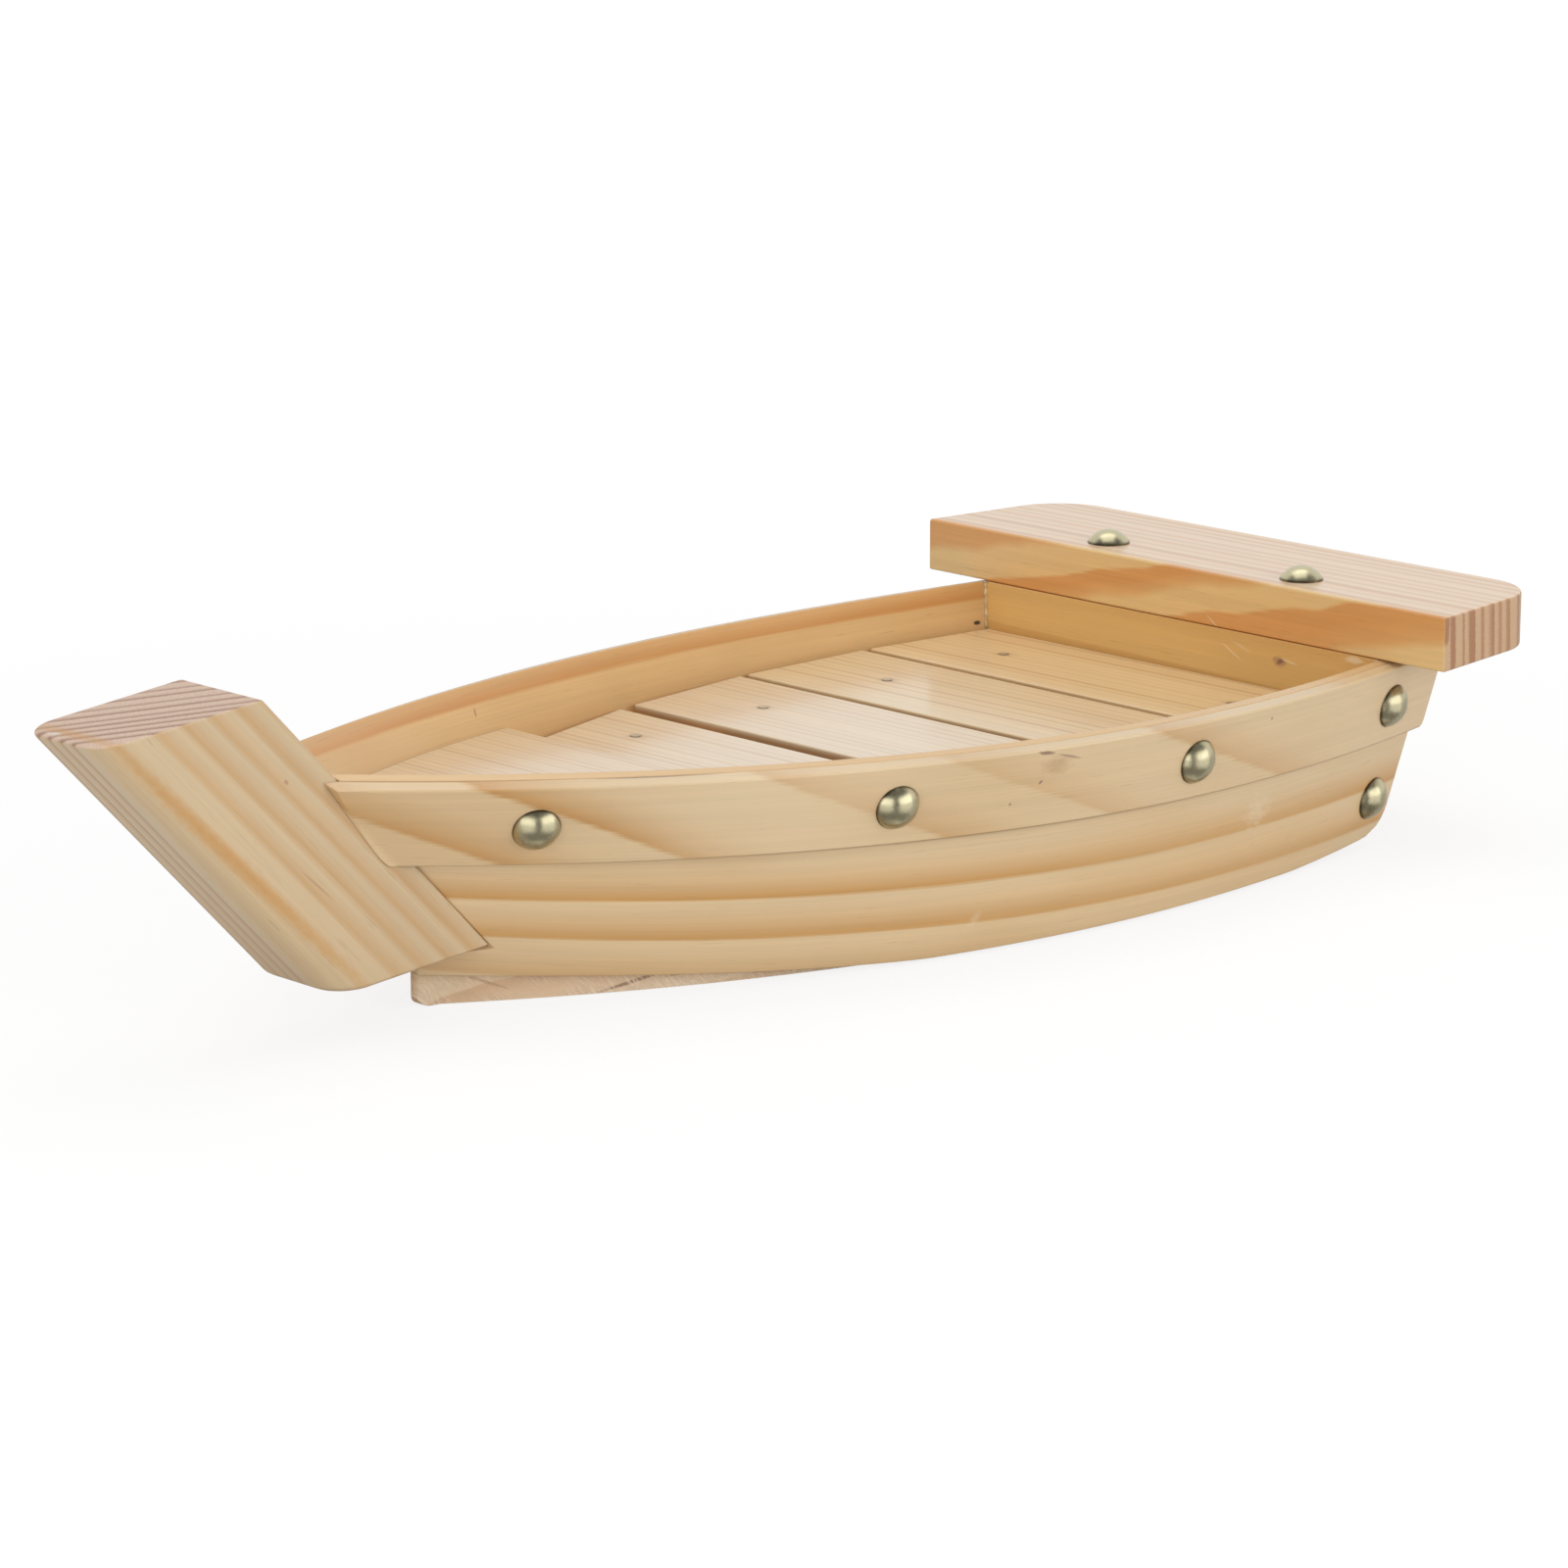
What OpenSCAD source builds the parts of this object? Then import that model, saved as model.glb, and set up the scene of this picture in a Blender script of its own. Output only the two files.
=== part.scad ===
// Serving boat in pine: bent side boards with rubbing strakes, a leaning bow post,
// a slatted floor on two bearers, a raked transom and an overhanging stern plank.
// Millimetres. +X points to the bow, +Y to port, +Z up, Z = 0 on the table.
// Lengths called s are measured forward from the stern plank's front face.

/* [Hull shape] */
// Length of the tray from the stern plank to the bow post, along the top edge
hull_length = 297.3; // [285:0.1:310]
// Inside width at the widest point of the top edge
beam_inside = 150; // [144:1:156]
// Inside width at the stern plank's front face
stern_width = 137; // [130:1:142]
// Distance of the widest point ahead of the stern plank
widest_at = 78; // [66:1:90]
// Height of the sides' top edge at the stern
stern_height = 51.7; // [50:0.1:56]
// Height of the sides' top edge at the bow post
bow_height = 63.4; // [60:0.1:68]
// Outward lean of the sides at the stern, as a slope
stern_lean = 0.2; // [0.14:0.01:0.24]

/* [Side boards] */
// Thickness of each inner side board
board_t = 2.5; // [2:0.1:3.5]
// Thickness of each outer strake
strake_t = 3.5; // [2.6:0.1:4.2]
// Height of each strake
strake_height = 19.8; // [14:0.1:24]
// Length of the strake's tapered end on the side of the bow post
strake_lap = 6; // [4:0.5:6.5]
// Rake of that end: its lower corner lies this much further forward, its upper corner further aft
strake_rake = 2; // [0:0.5:2.5]
// Length of the side boards' toe under the bow post
toe_length = 12.1; // [8:0.1:12.5]
// Distance the side boards run behind the stern plank's front face, at the top
side_tail = 25.5; // [22:0.5:32]
// Slope of the side boards' stern ends
tail_rake = 0.22; // [0.1:0.01:0.26]
// Radius of the side boards' lower stern corner
tail_round = 7; // [3:0.5:10]

/* [Bow post] */
// Width of the post across the boat
post_width = 29; // [26:0.5:32]
// Depth of the post, square to its lean
post_depth = 35.5; // [30:0.5:42]
// Forward lean of the post from upright, degrees
post_lean = 43.4; // [40:0.1:46]
// Height of the post at its top back edge
post_top = 83.9; // [76:0.1:92]
// Height of the post at its bottom back edge
post_bottom = 15.7; // [14.5:0.1:18]
// Slope of the post's sawn ends, degrees
post_end_tilt = 5; // [1:0.1:6]
// Rounding of the two front edges
post_round = 7; // [3:0.5:10]

/* [Bottom board] */
// Thickness of the bottom board
bottom_t = 10; // [9:0.5:12]
// Half width of the bottom board's blunt nose
nose_half = 2; // [1.5:0.5:4]
// Distance of the bottom board's nose behind the tips of the toes
nose_setback = 0.7; // [0.2:0.1:3]
// Distance the bottom board's exposed edge stands in from the side boards
bottom_inset = 1.8; // [0.5:0.1:2.5]

/* [Floor] */
// Height of the slatted floor's top
floor_top = 39.5; // [36:0.1:42]
// Thickness of the floor planks
plank_t = 5; // [4:0.5:6]
// Width of the gap between the two front planks and the rest
wide_gap = 5.7; // [3:0.1:7]
// Width of the other gaps
narrow_gap = 2.9; // [1.5:0.1:4]
// Width of the three after planks
plank_width = 41.9; // [39:0.1:43]
// Width of the front plank that carries the bow plank
front_plank_width = 50.5; // [49:0.5:53]
// Thickness of the bow plank
bow_plank_t = 4.5; // [3.5:0.5:6]
// Upward slope of the bow plank, degrees
bow_plank_tilt = 3.7; // [2:0.1:5]
// Overlap of the bow plank on the front plank
bow_plank_lap = 3.5; // [2:0.5:6]
// Distance of each bearer and each nail row from the centreline
bearer_at = 40; // [34:1:44]
// Width of the bearers
bearer_width = 14; // [8:1:18]
// Distance of the bearers' forward ends ahead of the stern plank
bearer_reach = 165; // [158:1:170]

/* [Stern] */
// Thickness of the transom
transom_t = 18; // [14:0.5:21]
// Slope of the transom, its top further aft
transom_rake = 0.146; // [0.05:0.01:0.2]
// Length of the stern plank across the boat, at its front
stern_plank_length = 180; // [170:1:200]
// Depth of the stern plank, fore and aft
stern_plank_depth = 47.3; // [40:0.1:56]
// Thickness of the stern plank
stern_plank_t = 14.1; // [10:0.1:18]
// Taper of the stern plank's ends, as a slope
stern_plank_taper = 0.13; // [0.05:0.01:0.3]
// Rounding of the stern plank's rear corners
stern_plank_round = 18; // [6:0.5:20]

/* [Nails] */
// Diameter of the domed nail heads
head_d = 11.3; // [8:0.1:12]
// Height of the domed nail heads
head_h = 3.6; // [2:0.1:4]
// Diameter of the domed nails' shanks
shank_d = 1.6; // [1.2:0.1:2]
// Shank length of the strake nails
strake_shank = 5.3; // [4:0.1:5.4]
// Shank length of the nails through the side boards into the transom
side_shank = 12; // [8:1:16]
// Shank length of the nails through the stern plank into the transom
plank_shank = 24; // [20:1:30]
// Distance of the stern plank's nails from the centreline
plank_nail_y = 33.6; // [20:0.1:45]
// Distance of the stern plank's nails behind its front face
plank_nail_s = 10.9; // [8:0.1:12]
// Diameter of the small floor nails' heads
pin_head_d = 2.8; // [2:0.1:4]
// Thickness of the floor nails' heads, driven flush with the planks
pin_head_t = 0.8; // [0.4:0.1:1.2]
// Diameter of the floor nails' shanks
pin_d = 1.4; // [1:0.1:1.8]
// Length of the floor nails
pin_length = 16; // [10:1:20]

/* [Fit] */
// Glue line between boards that lie face to face
glue = 0.1; // [0.05:0.01:0.2]
// Clearance between the floor planks' ends and the side boards
plank_clear = 0.5; // [0.2:0.1:1]

/* [Hidden] */
$fn = 48;
// Each piece is drawn on its own by its name, or all of them together.

pine = [0.86, 0.72, 0.50];
pine_pale = [0.90, 0.80, 0.62];
pine_gold = [0.83, 0.66, 0.40];
pewter = [0.55, 0.53, 0.44];

// Curve shapes of the hull
plan_power = 1.95;
sheer_power = 2.2;
lean_power = 3;
rise_power = 1.25;
tail_power = 1.3;
// Rise of the side boards' lower edge towards the bow and the stern
side_clear = 1.05;
rise_from = hull_length * 0.505;
bow_rise = 8.3;
tail_from = hull_length * 0.1;
tail_length = tail_from + side_tail * 0.6;
tail_rise = 2.2;
// Sampling of the bent boards
columns = 44;
rows_above = 7;
rows_below = 2;
toe_columns = 3;
lap_columns = 3;
strake_rows = 3;
slab_rings = 30;
plank_rings = 12;
corner_steps = 20;
probe = 0.5;

// Where the bow post's back face lies at height z
lean_run = tan(post_lean);
function back_s(z) = hull_length + lean_run * (z - bow_height);

// Inside half width that brings the side boards flush with the post
bow_slant = 1.28;
bow_half = post_width / 2 - board_t * bow_slant;

// Top edge of the side boards, on the inside
function sheer_z(s) =
  stern_height + (bow_height - stern_height) * pow(max(s, 0) / hull_length, sheer_power);
function sheer_y(s) = s > widest_at
  ? beam_inside / 2 - (beam_inside / 2 - bow_half)
    * pow((s - widest_at) / (hull_length - widest_at), plan_power)
  : beam_inside / 2 - (beam_inside - stern_width) / 2 * pow((widest_at - s) / widest_at, 2);

// Lean of the sides: the bow end is set so that the board meets the post's lower corner flush
foot_s = back_s(post_bottom);
bow_lean = (sheer_y(foot_s) - bow_half) / (sheer_z(foot_s) - post_bottom);
function lean(s) = stern_lean + (bow_lean - stern_lean) * pow(max(s, 0) / foot_s, lean_power);

// Inner face of the side boards, and faces lying t further out
function skin_y(s, z) = sheer_y(s) - lean(s) * (sheer_z(s) - z);
function run(s, z) = (skin_y(s + probe, z) - skin_y(s - probe, z)) / (2 * probe);
function stretch(s, z) = sqrt(1 + pow(run(s, z), 2) + pow(lean(s), 2));
function face_y(s, z, t) = skin_y(s, z) + t * stretch(s, z);
// Edges are cut square to the leaning face, so they sink by this much across a thickness t
function sink(s, z, t) = t * lean(s) / stretch(s, z);
// Unit vector pointing straight out of the port side
function outward(s, z) = [-run(s, z), 1, -lean(s)] / stretch(s, z);

// Lower edge of the side boards, on the inside
function foot_z(s) = side_clear
  + bow_rise * pow(max(s - rise_from, 0) / (foot_s + 12 - rise_from), rise_power)
  + tail_rise * pow(max(tail_from - s, 0) / tail_length, tail_power);

// Stern ends of the side boards, with a rounded lower corner
tail_foot = foot_z(tail_rake * stern_height - side_tail);
function corner_cut(h) = h < tail_round
  ? tail_round - sqrt(max(tail_round * tail_round - pow(tail_round - max(h, 0), 2), 0))
  : 0;
function tail_s(z) = tail_rake * (stern_height - z) - side_tail;
function side_end_s(z) = tail_s(z) + corner_cut(z - tail_foot + side_clear / 2);

function mix(a, b, t) = a + (b - a) * t;

// Bow end of the side boards: the post's back face, then a toe under the post
end_s = hull_length;
toe_gap = 0.3;
toe_z = post_bottom - toe_gap;
toe_top_s = back_s(toe_z) - glue;
toe_v = (sheer_z(toe_top_s) - toe_z) / (sheer_z(toe_top_s) - foot_z(toe_top_s));
toe_s = foot_s + toe_length;
// Least distance of a toe's faces from the centreline, where the two toes meet
function toe_clear(t) = 3 * glue + 1.1 * t;
function board_end_s(z) = back_s(z) - glue;
function toe_line(s) = toe_z - tan(post_end_tilt) * (s - toe_top_s);

// A point of the board's grid as [s, z]; u runs from stern to bow, v from top to bottom
function board_s(u, z) = mix(side_end_s(z), board_end_s(z), u);
function board_step(u, v, z) =
  let (s = board_s(u, z)) mix(sheer_z(s), foot_z(s), v);
function board_z(u, v) =
  let (a = board_step(u, v, mix(stern_height, side_clear, v)))
  let (b = board_step(u, v, a))
  let (c = board_step(u, v, b))
  board_step(u, v, c);
function board_point(u, v, t) =
  let (z = board_z(u, v))
  let (zo = z - sink(board_s(u, z), z, t))
  let (so = board_s(u, zo))
  [so, face_y(so, zo, t), zo];
// A point of the toe; w runs from its top to the board's lower edge, k from the post to the tip
function toe_point(k, w, t) =
  let (v = mix(toe_v, 1, w))
  let (start = board_point(1, v, 0))
  let (s = mix(start[0], toe_s, k))
  let (z = mix(toe_line(s), foot_z(s), w))
  let (zo = z - sink(s, z, t))
  [s, max(face_y(s, zo, t), toe_clear(t)), zo];

board_rows = rows_above + rows_below;
function row_v(j) = j <= rows_above
  ? toe_v * j / rows_above
  : mix(toe_v, 1, (j - rows_above) / rows_below);
function board_grid(t) = concat(
  [for (i = [0 : columns]) for (j = [0 : board_rows]) board_point(i / columns, row_v(j), t)],
  [for (k = [1 : toe_columns]) for (j = [0 : rows_below])
    toe_point(k / toe_columns, j / rows_below, t)]);
toe_base = (columns + 1) * (board_rows + 1);
function at(i, j) = i <= columns
  ? i * (board_rows + 1) + j
  : toe_base + (i - columns - 1) * (rows_below + 1) + j - rows_above;
last = columns + toe_columns;
board_cells = concat(
  [for (i = [0 : columns - 1]) for (j = [0 : board_rows - 1])
    [at(i, j), at(i + 1, j), at(i + 1, j + 1), at(i, j + 1)]],
  [for (i = [columns : last - 1]) for (j = [rows_above : board_rows - 1])
    [at(i, j), at(i + 1, j), at(i + 1, j + 1), at(i, j + 1)]]);
board_rim = concat(
  [for (i = [0 : columns]) at(i, 0)],
  [for (j = [1 : rows_above]) at(columns, j)],
  [for (i = [columns + 1 : last]) at(i, rows_above)],
  [for (j = [rows_above + 1 : board_rows]) at(last, j)],
  [for (i = [last - 1 : -1 : 0]) at(i, board_rows)],
  [for (j = [board_rows - 1 : -1 : 1]) at(0, j)]);

// The strake lies on the board and its bow end is bevelled to lie on the post's side
strake_in = board_t + glue;
strake_out = strake_in + strake_t;
strake_columns = columns + lap_columns;
post_side = post_width / 2 + glue;
// w runs from the strake's top edge to its lower edge
function strake_end(w) = strake_lap + strake_rake * (2 * w - 1);
function strake_s(i, w, z) = i <= columns
  ? mix(tail_s(z), back_s(z), i / columns)
  : back_s(z) + strake_end(w) * (i - columns) / lap_columns;
function strake_step(i, w, z) = sheer_z(strake_s(i, w, z)) - strake_height * w;
function strake_z(i, w) =
  let (a = strake_step(i, w, mix(stern_height, bow_height, i / strake_columns)))
  let (b = strake_step(i, w, a))
  let (c = strake_step(i, w, b))
  strake_step(i, w, c);
function strake_point(i, w, t) =
  let (z = strake_z(i, w))
  let (zo = z - sink(strake_s(i, w, z), z, t))
  let (so = strake_s(i, w, zo))
  let (y = face_y(so, zo, t))
  [so, i < columns ? y : max(y, post_side + (t - strake_in) * 0.1), zo];
function strake_grid(t) = [for (i = [0 : strake_columns]) for (j = [0 : strake_rows])
  strake_point(i, j / strake_rows, t)];
function st(i, j) = i * (strake_rows + 1) + j;
strake_cells = [for (i = [0 : strake_columns - 1]) for (j = [0 : strake_rows - 1])
  [st(i, j), st(i + 1, j), st(i + 1, j + 1), st(i, j + 1)]];
strake_rim = concat(
  [for (i = [0 : strake_columns]) st(i, 0)],
  [for (j = [1 : strake_rows]) st(strake_columns, j)],
  [for (i = [strake_columns - 1 : -1 : 0]) st(i, strake_rows)],
  [for (j = [strake_rows - 1 : -1 : 1]) st(0, j)]);

// Overall length, used to centre the boat on the origin
post_run = post_depth / cos(post_lean);
tip_drop = tan(post_end_tilt) * post_run / (1 + tan(post_end_tilt) * lean_run);
bow_tip = back_s(post_top) + post_run - lean_run * tip_drop;
mid_s = (bow_tip - stern_plank_depth) / 2;

// Transom faces
transom_bottom = bottom_t + glue;
function transom_in(z) = transom_rake * (stern_height - z);
function transom_out(z) = transom_in(z) - transom_t;

// Floor plank edges, from the stern forward
plank_under = floor_top - plank_t;
plank5_aft = transom_in(plank_under) + glue;
plank5_fore = plank5_aft + plank_width - 1.4;
plank4_aft = plank5_fore + narrow_gap;
plank4_fore = plank4_aft + plank_width;
plank3_aft = plank4_fore + narrow_gap;
plank3_fore = plank3_aft + plank_width;
plank2_aft = plank3_fore + wide_gap;
plank2_fore = plank2_aft + front_plank_width;
plank2_nail_s = plank2_aft + plank_width * 0.42;

// Bow plank, resting on the front plank and on the post's sloping back
bow_aft = plank2_fore - bow_plank_lap;
bow_slope = tan(bow_plank_tilt);
bow_under = floor_top + glue;
function bow_fore(lift) =
  (hull_length + lean_run * (bow_under + lift - bow_slope * bow_aft - bow_height) - glue)
  / (1 - lean_run * bow_slope);
function bow_z(s, lift) = bow_under + lift + bow_slope * (s - bow_aft);

// Nail positions along the strake and on the lower stern corner
strake_nail_s = [hull_length * 0.857, hull_length * 0.576, hull_length * 0.271, -1.5];
strake_nail_drop = strake_height * 0.52;
side_nail_s = -6.5;
side_nail_z = post_bottom - 2.3;

// A closed thin shell between two grids of points
module shell(inner, outer, cells, rim) {
  q = len(inner);
  n = len(rim);
  faces = concat(
    [for (c = cells) each [[c[0], c[1], c[2]], [c[0], c[2], c[3]]]],
    [for (c = cells) each [[q + c[0], q + c[3], q + c[2]], [q + c[0], q + c[2], q + c[1]]]],
    [for (k = [0 : n - 1]) let (a = rim[k], b = rim[(k + 1) % n])
      each [[a, q + a, q + b], [a, q + b, b]]]);
  polyhedron(concat(inner, outer), faces);
}

// A closed solid through a row of rings that all have the same number of points
module loft(rings) {
  m = len(rings[0]);
  n = len(rings);
  faces = concat(
    [[for (k = [m - 1 : -1 : 0]) k]],
    [[for (k = [0 : m - 1]) (n - 1) * m + k]],
    [for (i = [0 : n - 2]) for (k = [0 : m - 1])
      let (a = i * m + k, b = i * m + (k + 1) % m)
      each [[a, b, b + m], [a, b + m, a + m]]]);
  polyhedron([for (r = rings) each r], faces);
}

module in_frame() {
  translate([-mid_s, 0, 0])
    children();
}

module starboard() {
  mirror([0, 1, 0])
    children();
}

module post_section() {
  half = post_width / 2;
  translate([0, -half])
    square([post_depth - post_round, post_width]);
  translate([0, post_round - half])
    square([post_depth, post_width - 2 * post_round]);
  for (side = [-1, 1])
    translate([post_depth - post_round, side * (half - post_round)])
      circle(post_round);
}

module bow_post() {
  span = 2 * post_top;
  aft = back_s(post_bottom) - post_depth;
  fore = bow_tip + post_depth;
  top_s = back_s(post_top);
  slope = tan(post_end_tilt);
  profile = [
    [aft, post_top - slope * (aft - top_s)],
    [fore, post_top - slope * (fore - top_s)],
    [fore, post_bottom - slope * (fore - foot_s)],
    [aft, post_bottom - slope * (aft - foot_s)]];
  color(pine)
    in_frame()
      intersection() {
        translate([hull_length, 0, bow_height])
          rotate([0, post_lean, 0])
            translate([0, 0, -span / 2])
              linear_extrude(span)
                post_section();
        rotate([90, 0, 0])
          linear_extrude(2 * post_width, center = true)
            polygon(profile);
      }
}

module side_board() {
  shell(board_grid(0), board_grid(board_t), board_cells, board_rim);
}

module port_side_board() {
  color(pine_gold)
    in_frame()
      side_board();
}

module starboard_side_board() {
  color(pine_gold)
    in_frame()
      starboard()
        side_board();
}

module strake() {
  shell(strake_grid(strake_in), strake_grid(strake_out), strake_cells, strake_rim);
}

module port_strake() {
  color(pine_pale)
    in_frame()
      strake();
}

module starboard_strake() {
  color(pine_pale)
    in_frame()
      starboard()
        strake();
}

// Half of the bottom board's section at s, from the underside up
function bottom_half(s) =
  let (seat = foot_z(s) + glue)
  let (low = max(skin_y(s, seat) - bottom_inset, nose_half))
  let (below = max(foot_z(s) - sink(s, foot_z(s), board_t) - glue, glue))
  [[low, 0], [low, below],
   [max(skin_y(s, seat) - glue, glue), seat], [max(skin_y(s, bottom_t) - glue, 2 * glue), bottom_t]];
function bottom_ring(s) =
  let (h = bottom_half(s))
  concat([for (k = [3 : -1 : 0]) [s, -h[k][0], h[k][1]]], [for (k = [0 : 3]) [s, h[k][0], h[k][1]]]);

module bottom_board() {
  aft = transom_out(transom_bottom);
  fore = toe_s - nose_setback;
  color(pine)
    in_frame()
      loft([for (i = [0 : slab_rings]) bottom_ring(mix(aft, fore, i / slab_rings))]);
}

module bearer() {
  aft = transom_in(transom_bottom) + glue;
  low = bottom_t + glue;
  translate([aft, bearer_at - bearer_width / 2, low])
    cube([bearer_reach - aft, bearer_width, plank_under - glue - low]);
}

module floor_bearer_port() {
  color(pine)
    in_frame()
      bearer();
}

module floor_bearer_starboard() {
  color(pine)
    in_frame()
      starboard()
        bearer();
}

module bow_floor_plank() {
  top_fore = bow_fore(bow_plank_t);
  low_fore = bow_fore(0);
  rings = [for (i = [0 : plank_rings])
    let (u = i / plank_rings)
    let (a = mix(bow_aft, low_fore, u), b = mix(bow_aft, top_fore, u))
    let (za = bow_z(a, 0), zb = bow_z(b, bow_plank_t))
    let (ya = skin_y(a, za) - plank_clear, yb = skin_y(b, zb) - plank_clear)
    [[b, -yb, zb], [a, -ya, za], [a, ya, za], [b, yb, zb]]];
  color(pine_pale)
    in_frame()
      loft(rings);
}

module floor_plank(aft, fore) {
  ya = skin_y(aft, plank_under) - plank_clear;
  yf = skin_y(fore, plank_under) - plank_clear;
  color(pine_pale)
    in_frame()
      translate([0, 0, plank_under])
        linear_extrude(plank_t)
          polygon([[aft, -ya], [fore, -yf], [fore, yf], [aft, ya]]);
}

module floor_plank_2() {
  floor_plank(plank2_aft, plank2_fore);
}

module floor_plank_3() {
  floor_plank(plank3_aft, plank3_fore);
}

module floor_plank_4() {
  floor_plank(plank4_aft, plank4_fore);
}

module floor_plank_5() {
  floor_plank(plank5_aft, plank5_fore);
}

function transom_ring(top_s, low_s) =
  let (yt = skin_y(top_s, stern_height) - glue, yl = skin_y(low_s, transom_bottom) - glue)
  [[top_s, -yt, stern_height], [low_s, -yl, transom_bottom],
   [low_s, yl, transom_bottom], [top_s, yt, stern_height]];

module transom() {
  color(pine_gold)
    in_frame()
      loft([
        transom_ring(transom_out(stern_height), transom_out(transom_bottom)),
        transom_ring(transom_in(stern_height), transom_in(transom_bottom))]);
}

module stern_plank() {
  half = stern_plank_length / 2;
  flare = sqrt(1 + stern_plank_taper * stern_plank_taper);
  cx = stern_plank_round - stern_plank_depth;
  cy = half + stern_plank_taper * cx - stern_plank_round * flare;
  from = 90 + atan(stern_plank_taper);
  port = concat([[0, half]], [for (k = [0 : corner_steps])
    let (a = mix(from, 180, k / corner_steps))
    [cx + stern_plank_round * cos(a), cy + stern_plank_round * sin(a)]]);
  outline = concat(port, [for (k = [len(port) - 1 : -1 : 0]) [port[k][0], -port[k][1]]]);
  color(pine)
    in_frame()
      translate([0, 0, stern_height + glue])
        linear_extrude(stern_plank_t)
          polygon(outline);
}

// A domed nail with its head's flat on Z = 0 and its shank below
module domed_nail(shank) {
  r = (head_d * head_d / 4 + head_h * head_h) / (2 * head_h);
  intersection() {
    translate([0, 0, head_h - r])
      sphere(r);
    cylinder(d = head_d + 1, h = head_h + 1);
  }
  translate([0, 0, -shank])
    cylinder(d = shank_d, h = shank + head_h / 2);
}

// Sets a nail square on a leaning side, t out from the inner face
module on_side(s, z, t) {
  v = outward(s, z);
  translate([s, face_y(s, z, t), z])
    rotate([0, acos(v[2]), atan2(v[1], v[0])])
      children();
}

module strake_nails() {
  for (s = strake_nail_s)
    on_side(s, sheer_z(s) - strake_nail_drop - sink(s, sheer_z(s), strake_out), strake_out + glue)
      domed_nail(strake_shank);
}

module port_strake_nails() {
  color(pewter)
    in_frame()
      strake_nails();
}

module starboard_strake_nails() {
  color(pewter)
    in_frame()
      starboard()
        strake_nails();
}

module transom_side_nails() {
  color(pewter)
    in_frame()
      for (flip = [0, 1])
        mirror([0, flip, 0])
          on_side(side_nail_s, side_nail_z, board_t + glue)
            domed_nail(side_shank);
}

module stern_plank_nails() {
  color(pewter)
    in_frame()
      for (side = [-1, 1])
        translate([-plank_nail_s, side * plank_nail_y, stern_height + glue + stern_plank_t])
          domed_nail(plank_shank);
}

module floor_nails() {
  stations = [plank2_nail_s, (plank3_aft + plank3_fore) / 2,
    (plank4_aft + plank4_fore) / 2, (plank5_aft + plank5_fore) / 2];
  color(pewter)
    in_frame()
      for (s = stations, side = [-1, 1])
        translate([s, side * bearer_at, floor_top]) {
          translate([0, 0, -pin_head_t])
            cylinder(d = pin_head_d, h = pin_head_t);
          translate([0, 0, -pin_length])
            cylinder(d = pin_d, h = pin_length - pin_head_t / 2);
        }
}

bow_post();
port_side_board();
starboard_side_board();
port_strake();
starboard_strake();
bottom_board();
floor_bearer_port();
floor_bearer_starboard();
bow_floor_plank();
floor_plank_2();
floor_plank_3();
floor_plank_4();
floor_plank_5();
transom();
stern_plank();
port_strake_nails();
starboard_strake_nails();
transom_side_nails();
stern_plank_nails();
floor_nails();
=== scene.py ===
"""Pine serving boat: fine boards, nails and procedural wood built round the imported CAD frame.

Lengths are millimetres until a mesh is made. s runs forward from the stern plank's front
face, y to port, z up, as in the CAD source.
"""
import math

import bmesh
import bpy
import numpy as np
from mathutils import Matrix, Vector


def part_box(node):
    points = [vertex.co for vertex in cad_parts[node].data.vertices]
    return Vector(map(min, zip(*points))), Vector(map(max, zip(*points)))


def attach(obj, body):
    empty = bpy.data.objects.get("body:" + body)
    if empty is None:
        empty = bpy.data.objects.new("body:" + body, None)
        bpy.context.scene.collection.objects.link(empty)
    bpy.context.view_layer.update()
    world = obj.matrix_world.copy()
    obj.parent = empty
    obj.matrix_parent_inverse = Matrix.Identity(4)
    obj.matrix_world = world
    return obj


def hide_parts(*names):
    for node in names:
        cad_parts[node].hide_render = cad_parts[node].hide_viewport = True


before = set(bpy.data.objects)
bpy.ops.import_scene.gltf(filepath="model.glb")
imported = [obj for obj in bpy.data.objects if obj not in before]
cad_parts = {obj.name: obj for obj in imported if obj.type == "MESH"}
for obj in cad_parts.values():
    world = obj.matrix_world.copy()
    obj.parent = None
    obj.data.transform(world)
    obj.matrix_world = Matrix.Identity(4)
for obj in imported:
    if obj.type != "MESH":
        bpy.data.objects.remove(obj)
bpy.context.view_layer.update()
scene = bpy.context.scene

MM = 0.001
# Place of the stern plank's front face, which is s = 0
STERN_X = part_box("stern_plank")[1].x / MM

# Hull, as in the CAD source
HULL_LENGTH = 297.3
BEAM_INSIDE = 150.0
STERN_WIDTH = 137.0
WIDEST_AT = 78.0
STERN_HEIGHT = 51.7
BOW_HEIGHT = 63.4
STERN_LEAN = 0.2
BOARD_T = 2.5
STRAKE_T = 3.5
STRAKE_HEIGHT = 19.8
STRAKE_LAP = 6.0
SIDE_TAIL = 25.5
TAIL_RAKE = 0.22
TAIL_ROUND = 7.0
POST_WIDTH = 29.0
POST_DEPTH = 35.5
POST_LEAN = math.radians(43.4)
POST_TOP = 83.9
POST_BOTTOM = 15.7
POST_END_SLOPE = math.tan(math.radians(5.0))
POST_ROUND = 7.0
BOTTOM_T = 10.0
NOSE_HALF = 2.0
BOTTOM_INSET = 1.8
TOE_LENGTH = 12.1
NOSE_SETBACK = 0.7
STRAKE_RAKE = 2.0
FLOOR_TOP = 39.5
PLANK_T = 5.0
WIDE_GAP = 5.7
NARROW_GAP = 2.9
PLANK_WIDTH = 41.9
FRONT_PLANK_WIDTH = 50.5
BOW_PLANK_T = 4.5
BOW_PLANK_SLOPE = math.tan(math.radians(3.7))
BOW_PLANK_LAP = 3.5
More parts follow.
